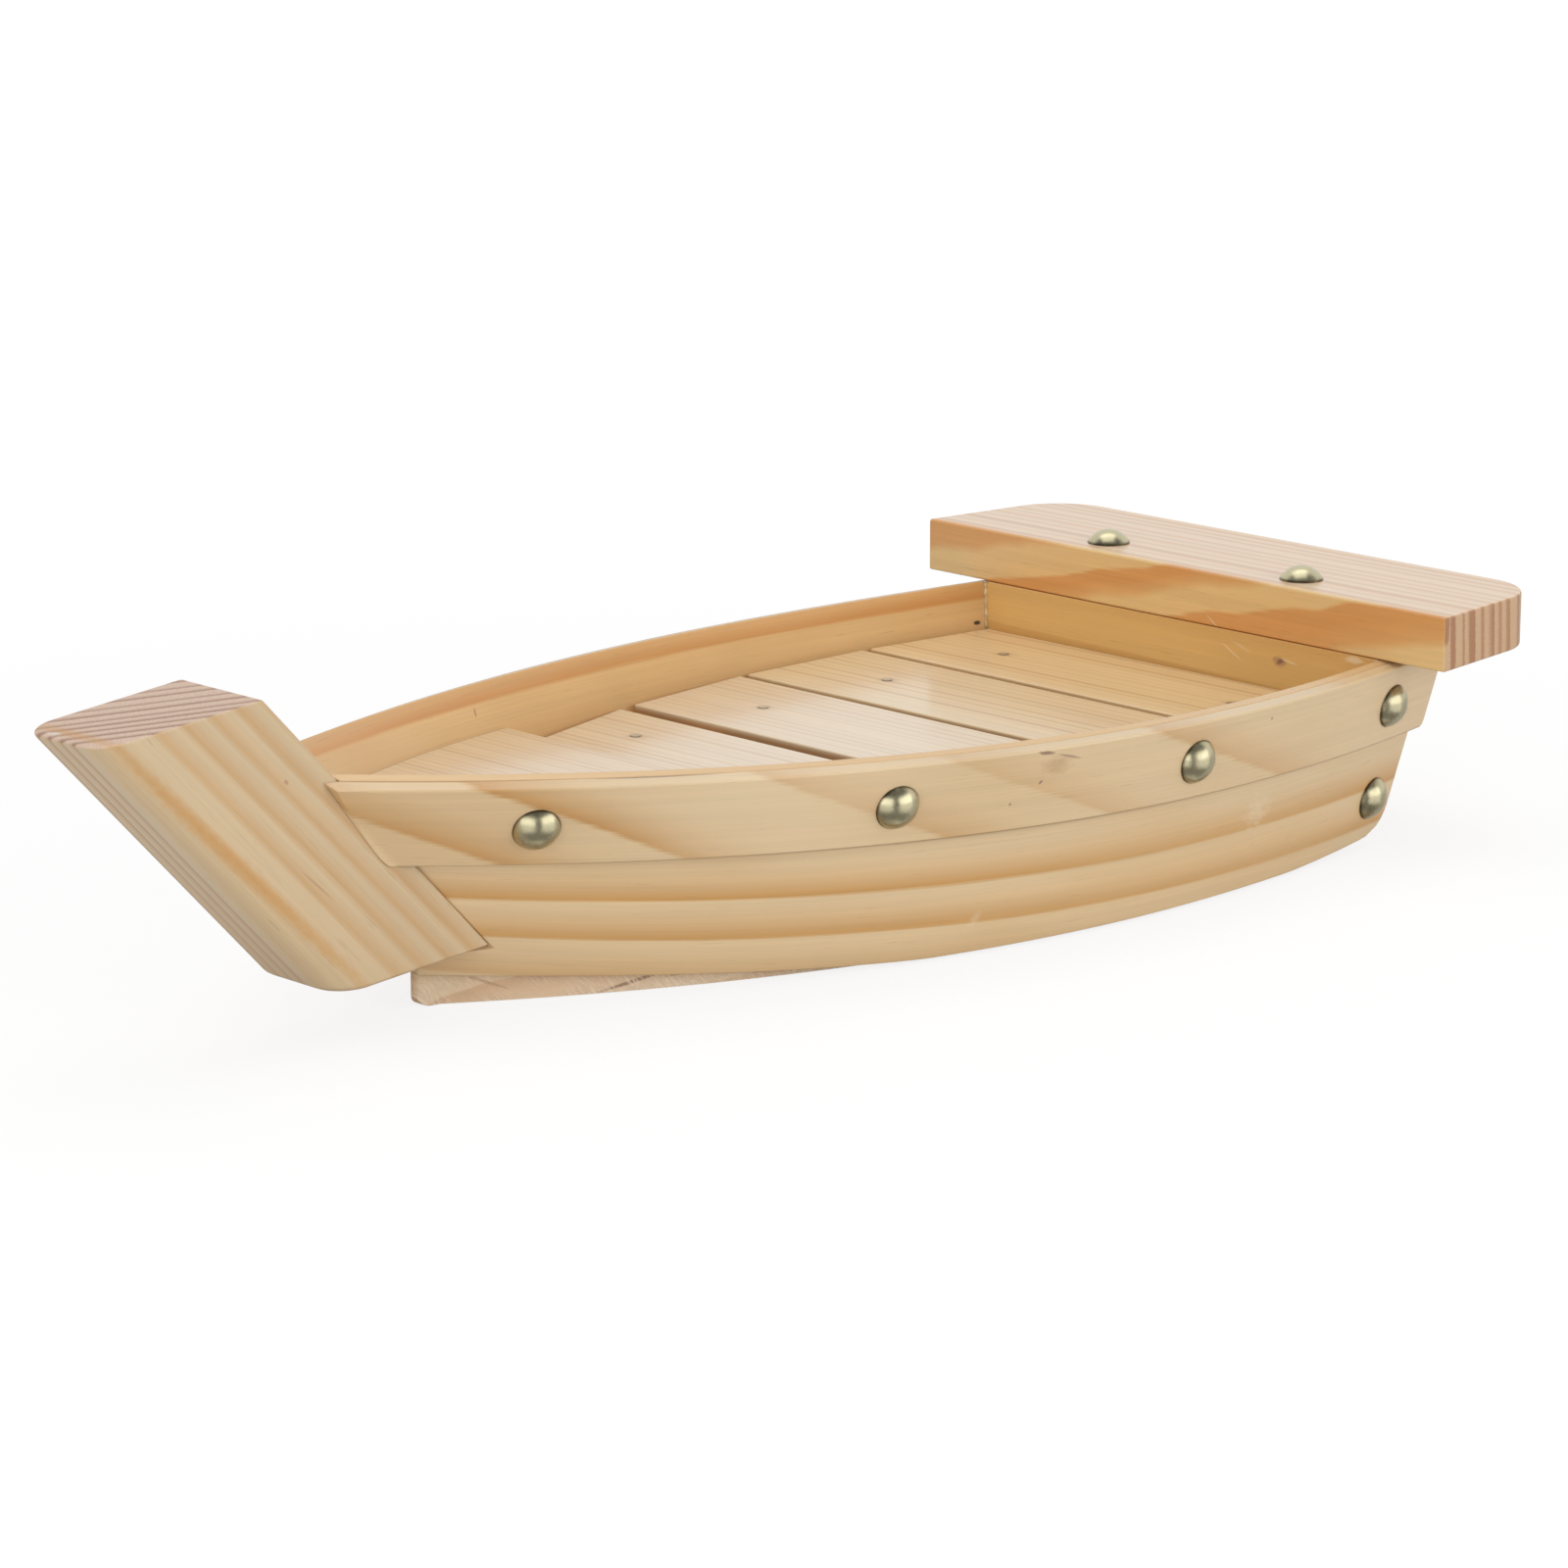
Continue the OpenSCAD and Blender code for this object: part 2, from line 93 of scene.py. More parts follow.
BEARER_AT = 40.0
BEARER_WIDTH = 14.0
BEARER_REACH = 165.0
TRANSOM_T = 18.0
TRANSOM_RAKE = 0.146
STERN_PLANK_LENGTH = 180.0
STERN_PLANK_DEPTH = 47.3
STERN_PLANK_T = 14.1
STERN_PLANK_TAPER = 0.13
STERN_PLANK_ROUND = 18.0
HEAD_D = 11.3
HEAD_H = 3.6
SHANK_D = 1.6
PIN_HEAD_D = 2.8
PIN_D = 1.4
PIN_LENGTH = 16.0
SHANK_POINT, PIN_POINT = 1.5, 1.2
GLUE = 0.1
PLANK_CLEAR = 0.5
PLAN_POWER, SHEER_POWER, LEAN_POWER = 1.95, 2.2, 3.0
RISE_POWER, TAIL_POWER = 1.25, 1.3
SIDE_CLEAR, BOW_RISE, TAIL_RISE = 1.05, 8.3, 2.2
BOW_SLANT = 1.28
PROBE = 0.5
# Rounds for finding a height that depends on its own place
SETTLE = 5

LEAN_RUN = math.tan(POST_LEAN)
BOW_HALF = POST_WIDTH / 2 - BOARD_T * BOW_SLANT
RISE_FROM = HULL_LENGTH * 0.505
RISE_PAST_FOOT = 12.0
TAIL_FROM = HULL_LENGTH * 0.1
TAIL_LENGTH = TAIL_FROM + SIDE_TAIL * 0.6


def mix(a, b, t):
    return a + (b - a) * t


def back_s(z):
    """Bow post's back face at height z."""
    return HULL_LENGTH + LEAN_RUN * (z - BOW_HEIGHT)


def sheer_z(s):
    """Height of the side boards' top edge."""
    return STERN_HEIGHT + (BOW_HEIGHT - STERN_HEIGHT) * (max(s, 0) / HULL_LENGTH) ** SHEER_POWER


def sheer_y(s):
    """Inside half width at the top edge."""
    half = BEAM_INSIDE / 2
    if s > WIDEST_AT:
        share = (s - WIDEST_AT) / (HULL_LENGTH - WIDEST_AT)
        return half - (half - BOW_HALF) * share ** PLAN_POWER
    return half - (half - STERN_WIDTH / 2) * ((WIDEST_AT - s) / WIDEST_AT) ** 2


FOOT_S = back_s(POST_BOTTOM)
BOW_LEAN = (sheer_y(FOOT_S) - BOW_HALF) / (sheer_z(FOOT_S) - POST_BOTTOM)


def lean(s):
    return STERN_LEAN + (BOW_LEAN - STERN_LEAN) * (max(s, 0) / FOOT_S) ** LEAN_POWER


def skin_y(s, z):
    """Inner face of the port side board."""
    return sheer_y(s) - lean(s) * (sheer_z(s) - z)


def run(s, z):
    return (skin_y(s + PROBE, z) - skin_y(s - PROBE, z)) / (2 * PROBE)


def stretch(s, z):
    return math.sqrt(1 + run(s, z) ** 2 + lean(s) ** 2)


def face_y(s, z, t):
    """Face lying t further out than the inner face."""
    return skin_y(s, z) + t * stretch(s, z)


def sink(s, z, t):
    """How far a square-cut edge drops across a thickness t."""
    return t * lean(s) / stretch(s, z)


def outward(s, z):
    return Vector((-run(s, z), 1, -lean(s))) / stretch(s, z)


def foot_z(s):
    """Lower edge of the side boards, on the inside."""
    rise = max(s - RISE_FROM, 0) / (FOOT_S + RISE_PAST_FOOT - RISE_FROM)
    tail = max(TAIL_FROM - s, 0) / TAIL_LENGTH
    return SIDE_CLEAR + BOW_RISE * rise ** RISE_POWER + TAIL_RISE * tail ** TAIL_POWER


def round_cut(height, radius):
    """Setback of a rounded corner, height above its lower tangent line."""
    if height >= radius:
        return 0.0
    return radius - math.sqrt(max(radius ** 2 - (radius - max(height, 0)) ** 2, 0))


TAIL_FOOT = foot_z(TAIL_RAKE * STERN_HEIGHT - SIDE_TAIL)


def tail_s(z):
    return TAIL_RAKE * (STERN_HEIGHT - z) - SIDE_TAIL


def side_end_s(z):
    return tail_s(z) + round_cut(z - TAIL_FOOT + SIDE_CLEAR / 2, TAIL_ROUND)


# Length measured along the bent top edge, for the grain
ARC_FROM, ARC_TO = -60, 330
ARC_S = np.linspace(ARC_FROM, ARC_TO, ARC_TO - ARC_FROM + 1)
ARC_LENGTH = np.concatenate([[0], np.cumsum(
    np.hypot(1, np.diff([sheer_y(s) for s in ARC_S])))]) + ARC_FROM


def below_strake(verts, grain):
    """How far each point of a bent board lies below the strake's lower edge."""
    return [down / math.hypot(1, lean(p[0])) - STRAKE_HEIGHT for p, (_, down, _) in zip(verts, grain)]


def hull_grain(s, z, t):
    """Place on the bent boards: along the grain, down from the top edge, outward."""
    down = (sheer_z(s) - z) * math.hypot(1, lean(s))
    return float(np.interp(s, ARC_S, ARC_LENGTH)), down, t


# Meshes

def add_object(name, data):
    made = bpy.data.objects.new(name, data)
    scene.collection.objects.link(made)
    return made


def finish_piece(name, solid, material, node, ease=0.35, grain=None, segments=3, sharp=35.0,
                 extra=None):
    """Makes a closed piece with eased edges.

    ease is a radius, or a function of two vertices; grain is for bent boards.
    """
    verts, faces = solid
    mesh = bpy.data.meshes.new(name)
    mesh.from_pydata([Vector((p[0] + STERN_X, p[1], p[2])) * MM for p in verts], [], faces)
    work = bmesh.new()
    work.from_mesh(mesh)
    bmesh.ops.recalc_face_normals(work, faces=work.faces)
    work.verts.index_update()
    radii = {}
    for edge in work.edges:
        if len(edge.link_faces) == 2 and edge.calc_face_angle() > math.radians(sharp):
            a, b = (v.index for v in edge.verts)
            radii[frozenset((a, b))] = ease(a, b) if callable(ease) else ease
    for face in work.faces:
        face.smooth = True
    work.to_mesh(mesh)
    work.free()
    if grain is not None:
        layer = mesh.attributes.new("grain", "FLOAT_VECTOR", "POINT")
        layer.data.foreach_set("vector", np.array(grain, np.float32).ravel())
        extra = {"below_strake": below_strake(verts, grain)}
    for key, values in (extra or {}).items():
        layer = mesh.attributes.new(key, "FLOAT", "POINT")
        layer.data.foreach_set("value", values)
    mesh.materials.append(material)
    piece = add_object(name, mesh)
    if radii:
        widest = max(radii.values())
        weight = mesh.attributes.new("bevel_weight_edge", "FLOAT", "EDGE")
        weight.data.foreach_set("value", [
            radii.get(frozenset(edge.vertices), 0.0) / widest for edge in mesh.edges])
        bevel = piece.modifiers.new("Eased edges", "BEVEL")
        bevel.limit_method = "WEIGHT"
        bevel.width = widest * MM
        bevel.segments = segments
        bevel.loop_slide = False
    normals = piece.modifiers.new("Flat faces", "WEIGHTED_NORMAL")
    normals.weight = 100
    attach(piece, "root")
    if node:
        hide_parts(node)


def shell(inner, outer, cells):
    """Closed thin board between two grids of (point, grain place)."""
    q = len(inner)
    edges = {(a, b): None for c in cells for a, b in zip(c, c[1:] + c[:1])}
    faces = cells + [tuple(q + k for k in reversed(c)) for c in cells]
    faces += [(a, q + a, q + b, b) for a, b in edges if (b, a) not in edges]
    both = inner + outer
    return [p for p, _ in both], faces, [g for _, g in both]


def loft(rings):
    """Closed solid through rings with the same number of points."""
    m = len(rings[0])
    faces = [tuple(range(m)), tuple(range((len(rings) - 1) * m, len(rings) * m))]
    for i in range(len(rings) - 1):
        for k in range(m):
            a, b = i * m + k, i * m + (k + 1) % m
            faces.append((a, b, b + m, a + m))
    return [p for ring in rings for p in ring], faces


def handed(verts, side):
    """Points of a port piece, or of its mirror image for side -1."""
    return [(x, side * y, z) for x, y, z in verts]


# Side boards: a fine grid over the whole board, and a toe under the post
BOARD_COLUMNS, ROWS_ABOVE, ROWS_BELOW, TOE_COLUMNS = 130, 16, 4, 6
TOE_DROP, TOE_SPREAD = 0.3, 1.1
TOE_Z = POST_BOTTOM - TOE_DROP
TOE_TOP_S = back_s(TOE_Z) - GLUE
TOE_V = (sheer_z(TOE_TOP_S) - TOE_Z) / (sheer_z(TOE_TOP_S) - foot_z(TOE_TOP_S))
TOE_TIP_S = FOOT_S + TOE_LENGTH
BOARD_ROWS = ROWS_ABOVE + ROWS_BELOW


def board_s(u, z):
    return mix(side_end_s(z), back_s(z) - GLUE, u)


def board_z(u, v):
    z = mix(STERN_HEIGHT, SIDE_CLEAR, v)
    for _ in range(SETTLE):
        s = board_s(u, z)
        z = mix(sheer_z(s), foot_z(s), v)
    return z


def board_point(u, v, t):
    z = board_z(u, v)
    low = z - sink(board_s(u, z), z, t)
    s = board_s(u, low)
    return (s, face_y(s, low, t), low), hull_grain(s, low + sink(s, low, t), t)


def toe_point(k, w, t):
    start = board_point(1, mix(TOE_V, 1, w), 0)[0][0]
    s = mix(start, TOE_TIP_S, k)
    top = TOE_Z - POST_END_SLOPE * (s - TOE_TOP_S)
    z = mix(top, foot_z(s), w)
    low = z - sink(s, z, t)
    return (s, max(face_y(s, low, t), GLUE + TOE_SPREAD * t), low), hull_grain(s, z, t)


def row_v(j):
    if j <= ROWS_ABOVE:
        return TOE_V * j / ROWS_ABOVE
    return mix(TOE_V, 1, (j - ROWS_ABOVE) / ROWS_BELOW)


def side_board_mesh():
    def grid(t):
        main = [board_point(i / BOARD_COLUMNS, row_v(j), t)
                for i in range(BOARD_COLUMNS + 1) for j in range(BOARD_ROWS + 1)]
        toe = [toe_point(k / TOE_COLUMNS, j / ROWS_BELOW, t)
               for k in range(1, TOE_COLUMNS + 1) for j in range(ROWS_BELOW + 1)]
        return main + toe

    toe_base = (BOARD_COLUMNS + 1) * (BOARD_ROWS + 1)
    last = BOARD_COLUMNS + TOE_COLUMNS

    def at(i, j):
        if i <= BOARD_COLUMNS:
            return i * (BOARD_ROWS + 1) + j
        return toe_base + (i - BOARD_COLUMNS - 1) * (ROWS_BELOW + 1) + j - ROWS_ABOVE

    cells = [(at(i, j), at(i + 1, j), at(i + 1, j + 1), at(i, j + 1))
             for i in range(last)
             for j in range(0 if i < BOARD_COLUMNS else ROWS_ABOVE, BOARD_ROWS)]
    return shell(grid(0), grid(BOARD_T), cells)


# Strakes: on the side boards, their bow ends bevelled onto the post
STRAKE_COLUMNS, LAP_COLUMNS, STRAKE_ROWS = 130, 8, 10
STRAKE_IN = BOARD_T + GLUE
STRAKE_OUT = STRAKE_IN + STRAKE_T
POST_SIDE = POST_WIDTH / 2 + GLUE
STRAKE_NOSE_ROUND = 2.4
NOSE_ROUND_SHARE = 0.6
STRAKE_TAIL_ROUND = 1.4
LAP_FLARE = 0.1


def strake_s(i, z, above):
    """above is the height over the strake's lower edge, where its end corners are rounded."""
    aft = tail_s(z) + round_cut(above, STRAKE_TAIL_ROUND)
    fore = back_s(z)
    if i <= STRAKE_COLUMNS:
        return mix(aft, fore, i / STRAKE_COLUMNS)
    lap = STRAKE_LAP + mix(STRAKE_RAKE, -STRAKE_RAKE, above / STRAKE_HEIGHT)
    lap -= NOSE_ROUND_SHARE * round_cut(above, STRAKE_NOSE_ROUND)
    return fore + lap * (i - STRAKE_COLUMNS) / LAP_COLUMNS


def strake_point(i, w, t):
    above = STRAKE_HEIGHT * (1 - w)
    z = mix(STERN_HEIGHT, BOW_HEIGHT, i / STRAKE_COLUMNS)
    for _ in range(SETTLE):
        z = sheer_z(strake_s(i, z, above)) - STRAKE_HEIGHT * w
    low = z - sink(strake_s(i, z, above), z, t)
    s = strake_s(i, low, above)
    y = face_y(s, low, t)
    if i >= STRAKE_COLUMNS:
        y = max(y, POST_SIDE + (t - STRAKE_IN) * LAP_FLARE)
    return (s, y, low), hull_grain(s, low + sink(s, low, t), t)


def strake_mesh():
    total = STRAKE_COLUMNS + LAP_COLUMNS
    rows = [0.5 - 0.5 * math.cos(math.pi * j / STRAKE_ROWS) for j in range(STRAKE_ROWS + 1)]

    def grid(t):
        return [strake_point(i, w, t) for i in range(total + 1) for w in rows]

    def at(i, j):
        return i * (STRAKE_ROWS + 1) + j

    cells = [(at(i, j), at(i + 1, j), at(i + 1, j + 1), at(i, j + 1))
             for i in range(total) for j in range(STRAKE_ROWS)]
    half = at(total + 1, 0)
    top_outer = {half + at(i, 0) for i in range(total + 1)}
    nose = {k + q for k in range(at(STRAKE_COLUMNS - 1, 0), half) for q in (0, half)}
    return *shell(grid(STRAKE_IN), grid(STRAKE_OUT), cells), top_outer, nose


# Flat boards

def prism(outline, low, high):
    """Solid between two heights of a plan outline."""
    return loft([[(s, y, z) for s, y in outline] for z in (low, high)])


def transom_in(z):
    return TRANSOM_RAKE * (STERN_HEIGHT - z)


def plank(aft, width):
    return aft, aft + width


TRANSOM_LOW = BOTTOM_T + GLUE
PLANK_UNDER = FLOOR_TOP - PLANK_T
PLANK5_TRIM = 1.4
FRONT_NAIL_SHARE = 0.42
PLANK5 = plank(transom_in(PLANK_UNDER) + GLUE, PLANK_WIDTH - PLANK5_TRIM)
PLANK4 = plank(PLANK5[1] + NARROW_GAP, PLANK_WIDTH)
PLANK3 = plank(PLANK4[1] + NARROW_GAP, PLANK_WIDTH)
PLANK2 = plank(PLANK3[1] + WIDE_GAP, FRONT_PLANK_WIDTH)
FLOOR_NAIL_S = [PLANK2[0] + PLANK_WIDTH * FRONT_NAIL_SHARE] + [sum(p) / 2 for p in (PLANK3, PLANK4, PLANK5)]


def floor_plank_mesh(aft, fore):
    ya = skin_y(aft, PLANK_UNDER) - PLANK_CLEAR
    yf = skin_y(fore, PLANK_UNDER) - PLANK_CLEAR
    outline = [(aft, -ya), (fore, -yf), (fore, yf), (aft, ya)]
    return prism(outline, PLANK_UNDER, FLOOR_TOP)


def bow_plank_mesh():
    aft, under, rings = PLANK2[1] - BOW_PLANK_LAP, FLOOR_TOP + GLUE, 40

    def fore(lift):
        base = under + lift - BOW_PLANK_SLOPE * aft - BOW_HEIGHT
        return (HULL_LENGTH + LEAN_RUN * base - GLUE) / (1 - LEAN_RUN * BOW_PLANK_SLOPE)

    def point(end, lift, u):
        s = mix(aft, end, u)
        z = under + lift + BOW_PLANK_SLOPE * (s - aft)
        return s, skin_y(s, z) - PLANK_CLEAR, z

    made = []
    for i in range(rings + 1):
        a, b = point(fore(0), 0, i / rings), point(fore(BOW_PLANK_T), BOW_PLANK_T, i / rings)
        made.append([(b[0], -b[1], b[2]), (a[0], -a[1], a[2]), a, b])
    return loft(made)


BOTTOM_FORE = TOE_TIP_S - NOSE_SETBACK
NOSE_ROUND = 4.0
NOSE_TIP = 0.02
BOTTOM_RINGS, NOSE_RINGS = 110, 8


def bottom_ring(s):
    ahead = BOTTOM_FORE - s
    lift = round_cut(ahead, NOSE_ROUND)
    seat = foot_z(s) + GLUE
    blunt = math.sqrt(max(1 - max(1 - ahead / (2 * NOSE_HALF), 0) ** 2, NOSE_TIP))
    low = max(skin_y(s, seat) - BOTTOM_INSET, NOSE_HALF * blunt)
    below = max(foot_z(s) - sink(s, foot_z(s), BOARD_T) - GLUE, GLUE + lift)
    half = [(low, lift), (low, below), (max(skin_y(s, seat) - GLUE, GLUE), max(seat, below + GLUE)),
            (max(skin_y(s, BOTTOM_T) - GLUE, 2 * GLUE), BOTTOM_T)]
    return [(s, -y, z) for y, z in reversed(half)] + [(s, y, z) for y, z in half]


def bottom_board_mesh():
    aft, nose_from = transom_in(TRANSOM_LOW) - TRANSOM_T, BOTTOM_FORE - NOSE_ROUND
    places = [mix(aft, nose_from, i / BOTTOM_RINGS) for i in range(BOTTOM_RINGS)]
    places += [nose_from + NOSE_ROUND * math.sin(math.pi / 2 * k / NOSE_RINGS) for k in range(NOSE_RINGS + 1)]
    return loft([bottom_ring(s) for s in places])


def transom_mesh():
    rings = []
    for shift in (-TRANSOM_T, 0):
        top, low = transom_in(STERN_HEIGHT) + shift, transom_in(TRANSOM_LOW) + shift
        yt = skin_y(top, STERN_HEIGHT) - GLUE
        yl = skin_y(low, TRANSOM_LOW) - GLUE
        rings.append([(top, -yt, STERN_HEIGHT), (low, -yl, TRANSOM_LOW),
                      (low, yl, TRANSOM_LOW), (top, yt, STERN_HEIGHT)])
    return loft(rings)


def stern_plank_mesh(steps=28):
    half = STERN_PLANK_LENGTH / 2
    flare = math.hypot(1, STERN_PLANK_TAPER)
    cx = STERN_PLANK_ROUND - STERN_PLANK_DEPTH
    cy = half + STERN_PLANK_TAPER * cx - STERN_PLANK_ROUND * flare
    start = math.pi / 2 + math.atan(STERN_PLANK_TAPER)
    port = [(0.0, half)]
    for k in range(steps + 1):
        a = mix(start, math.pi, k / steps)
        port.append((cx + STERN_PLANK_ROUND * math.cos(a), cy + STERN_PLANK_ROUND * math.sin(a)))
    outline = port + [(s, -y) for s, y in reversed(port)]
    low = STERN_HEIGHT + GLUE
    return prism(outline, low, low + STERN_PLANK_T)


POST_BACK_ROUND = 0.8
END_ROUND_FROM = 20.0
TOP_ROUND, PORT_WEAR, STARBOARD_WEAR = 0.45, 0.5, 1.5
FOOT_ROUND, UNDER_NOSE_ROUND, UNDER_NOSE_POWER = 0.5, 3.0, 1.5


def end_round(d, y, top):
    """Radius of the bow post's end edges: worn at the tip, well rounded under the nose."""
    nose = max(0.0, (d - END_ROUND_FROM) / (POST_DEPTH - END_ROUND_FROM))
    if top:
        return TOP_ROUND + nose * (STARBOARD_WEAR if y < 0 else PORT_WEAR)
    return FOOT_ROUND + UNDER_NOSE_ROUND * nose ** UNDER_NOSE_POWER


def post_mesh(steps=14, end_steps=6):
    """Bow post: one section lofted between its two slanting ends, all edges rounded."""
    half, back = POST_WIDTH / 2, POST_BACK_ROUND
    port = []
    for radius, d, first, last in ((back, back, math.pi, math.pi / 2),
                                   (POST_ROUND, POST_DEPTH - POST_ROUND, math.pi / 2, 0)):
        for k in range(steps + 1):
            a = mix(first, last, k / steps)
            nd, ny = math.cos(a), math.sin(a)
            port.append((d + radius * nd, half - radius + radius * ny, nd, ny))
    section = port + [(d, -y, nd, -ny) for d, y, nd, ny in reversed(port)]
    axis = (math.sin(POST_LEAN), math.cos(POST_LEAN))

    def ring(end, top, a):
        points = []
        for d, y, nd, ny in section:
            r = end_round(d, y, top)
            inset, shift = r * (1 - math.cos(a)), r * (1 - math.sin(a)) * (-1 if top else 1)
            ahead = (d - nd * inset) / math.cos(POST_LEAN)
            z = end - POST_END_SLOPE * ahead / (1 + POST_END_SLOPE * LEAN_RUN)
            points.append((back_s(z) + ahead + axis[0] * shift, y - ny * inset, z + axis[1] * shift))
        return points

    turns = [math.pi / 2 * k / end_steps for k in range(end_steps + 1)]
    rings = [ring(POST_BOTTOM, False, a) for a in reversed(turns)]
    return loft(rings + [ring(POST_TOP, True, a) for a in turns])


BEAD_R, BEAD_LUMP, BEAD_RIPPLE = 0.42, 0.16, 0.1


def glue_bead_mesh(side, sides=10, rings=30):
    """Dried glue squeezed out along the corner of a side board and the transom."""
    made = []
    for i in range(rings + 1):
        z = mix(FLOOR_TOP + GLUE, STERN_HEIGHT - GLUE, i / rings)
        s = transom_in(z)
        r = BEAD_R + BEAD_LUMP * math.sin(i * 0.9) + BEAD_RIPPLE * math.sin(i * 2.3 + 1)
        made.append([(s + r * (0.5 + math.cos(a)), side * (skin_y(s, z) - r * (0.5 + math.sin(a))), z)
                     for a in (2 * math.pi * k / sides for k in range(sides))])
    return loft(made)


# Nails

def lathe(profile, place, aim, verts, faces, share, steps=48):
    """Adds a turned solid about aim; profile is (radius, height, share) from top to tip."""
    axis = Vector(aim).normalized()
    side = axis.orthogonal().normalized()
    other = axis.cross(side)
    start = len(verts)
    for radius, height, part in profile:
        for k in range(1 if radius == 0 else steps):
            a = 2 * math.pi * k / steps
            p = Vector(place) + axis * height + (side * math.cos(a) + other * math.sin(a)) * radius
            verts.append(tuple(p))
            share.append(part)
    tip = len(verts) - 1
    first, low = start + 1, tip - steps
    for k in range(steps):
        n = (k + 1) % steps
        faces.append((start, first + k, first + n))
        for a in range(first, low, steps):
            faces.append((a + k, a + steps + k, a + steps + n, a + n))
        faces.append((low + k, tip, low + n))


def domed_profile(shank):
    """Spherical head with a thin upright rim, then the shank."""
    rim, r, steps = 0.2, HEAD_D / 2, 20
    ball = (r ** 2 + (HEAD_H - rim) ** 2) / (2 * (HEAD_H - rim))
    edge = math.asin(r / ball)
    profile = [(0, HEAD_H, 0.0)]
    for k in range(1, steps + 1):
        a = edge * k / steps
        profile.append((ball * math.sin(a), HEAD_H - ball * (1 - math.cos(a)), k / steps))
    profile += [(r + 0.04, rim / 2, 1.0), (r - 0.1, 0.02, 1.0), (r - 0.9, 0.0, 1.0)]
    profile += [(SHANK_D / 2, 0.0, 1.0), (SHANK_D / 2, SHANK_POINT - shank, 1.0), (0, -shank, 1.0)]
    return profile


def nail_piece(name, places, profile, material, node, steps=48):
    verts, faces, share = [], [], []
    for place, aim in places:
        lathe(profile, place, aim, verts, faces, share, steps)
    finish_piece(name, (verts, faces), material, node, sharp=180, extra={"rim": share})


# Materials

def srgb(r, g, b):
    """Colour as seen, 0 to 255, to the linear values that shaders take."""
    def one(c):
        c /= 255
        return c / 12.92 if c <= 0.04045 else ((c + 0.055) / 1.055) ** 2.4
    return one(r), one(g), one(b), 1.0


class Tree:
    """Short ways to add shader nodes to a material or a world."""

    def __init__(self, owner):
        owner.use_nodes = True
        self.owner = owner
        self.nodes = owner.node_tree.nodes

    def fill(self, made, values):
        """Gives a node's inputs, by name or number, a constant or a link."""
        for key, value in values.items():
            socket = made.inputs[key.replace("_", " ") if isinstance(key, str) else key]
            if isinstance(value, bpy.types.NodeSocket):
                self.owner.node_tree.links.new(value, socket)
            elif value is not None:
                socket.default_value = value
        return made

    def node(self, kind, settings=None, **values):
        made = self.nodes.new("ShaderNode" + kind)
        for key, value in (settings or {}).items():
            setattr(made, key, value)
        return self.fill(made, values)

    def join(self, kind, values, settings=None, out=0):
        """Adds a node by the numbers of its inputs, and gives one output."""
        return self.fill(self.node(kind, settings), values).outputs[out]

    def math(self, operation, a, b=None, clamp=False):
        return self.join("Math", {0: a, 1: b}, {"operation": operation, "use_clamp": clamp})

    def vector(self, operation, a, b=None):
        second = "Scale" if operation == "SCALE" else 1
        out = "Value" if operation in ("DOT_PRODUCT", "LENGTH") else "Vector"
        return self.join("VectorMath", {0: a, second: b}, {"operation": operation}, out)

    def blend(self, share, a, b):
        """Mixes two colours."""
        return self.join("Mix", {0: share, 6: a, 7: b}, {"data_type": "RGBA"}, 2)

    def either(self, share, a, b):
        """Mixes two shaders."""
        return self.join("MixShader", {0: share, 1: a, 2: b})

    def noise(self, place, per_mm, detail=2.0, roughness=0.5, out="Fac"):
        scaled = self.vector("MULTIPLY", place, per_mm)
        made = self.node("TexNoise", Vector=scaled, Scale=1.0, Detail=detail, Roughness=roughness)
        return made.outputs[out]

    def jitter(self, place, per_mm, detail, reach):
        """Noise in three axes, spread about zero."""
        spread = self.vector("SUBTRACT", self.noise(place, per_mm, detail, out="Color"), (0.5, 0.5, 0.5))
        return self.vector("MULTIPLY", spread, reach)

    def span(self, value, low, high, to_low, to_high, kind="LINEAR"):
        made = self.node("MapRange", {"interpolation_type": kind}, Value=value, From_Min=low,
                         From_Max=high, To_Min=to_low, To_Max=to_high)
        return made.outputs["Result"]

    def smooth(self, value, low, high, to_low=0.0, to_high=1.0):
        return self.span(value, low, high, to_low, to_high, "SMOOTHSTEP")

    def ramp(self, value, stops):
        made = self.node("ValToRGB", Fac=value)
        points = made.color_ramp.elements
        while len(points) < len(stops):
            points.new(0.5)
        for point, (place, level) in zip(points, stops):
            point.position = place
            point.color = (level, level, level, 1)
        return made.outputs["Color"]

    def here(self):
        """Place in the shared frame, in metres."""
        return self.node("TexCoord").outputs["Object"]

    def axis(self, place, name):
        return self.node("SeparateXYZ", Vector=place).outputs[name]

    def attribute(self, name, out="Fac"):
        return self.node("Attribute", {"attribute_name": name}).outputs[out]

    def surface(self, **values):
        """Fills the Principled shader and gives the material."""
        self.fill(self.nodes["Principled BSDF"], values)
        return self.owner


# Ring colour from a ring's start to its end
RING_PROFILE = [(0.0, 0.1), (0.06, 0.0), (0.4, 0.12), (0.72, 0.5), (0.92, 1.0), (0.97, 0.85), (1.0, 0.1)]
SOFT_PROFILE = [(0.0, 0.3), (0.2, 0.03), (0.45, 0.05), (0.7, 0.45), (0.86, 1.0), (0.95, 0.75), (1.0, 0.3)]
EVEN_PROFILE = [(0.0, 0.2), (0.14, 0.0), (0.4, 0.1), (0.6, 0.75), (0.8, 1.0), (0.92, 0.75), (1.0, 0.2)]


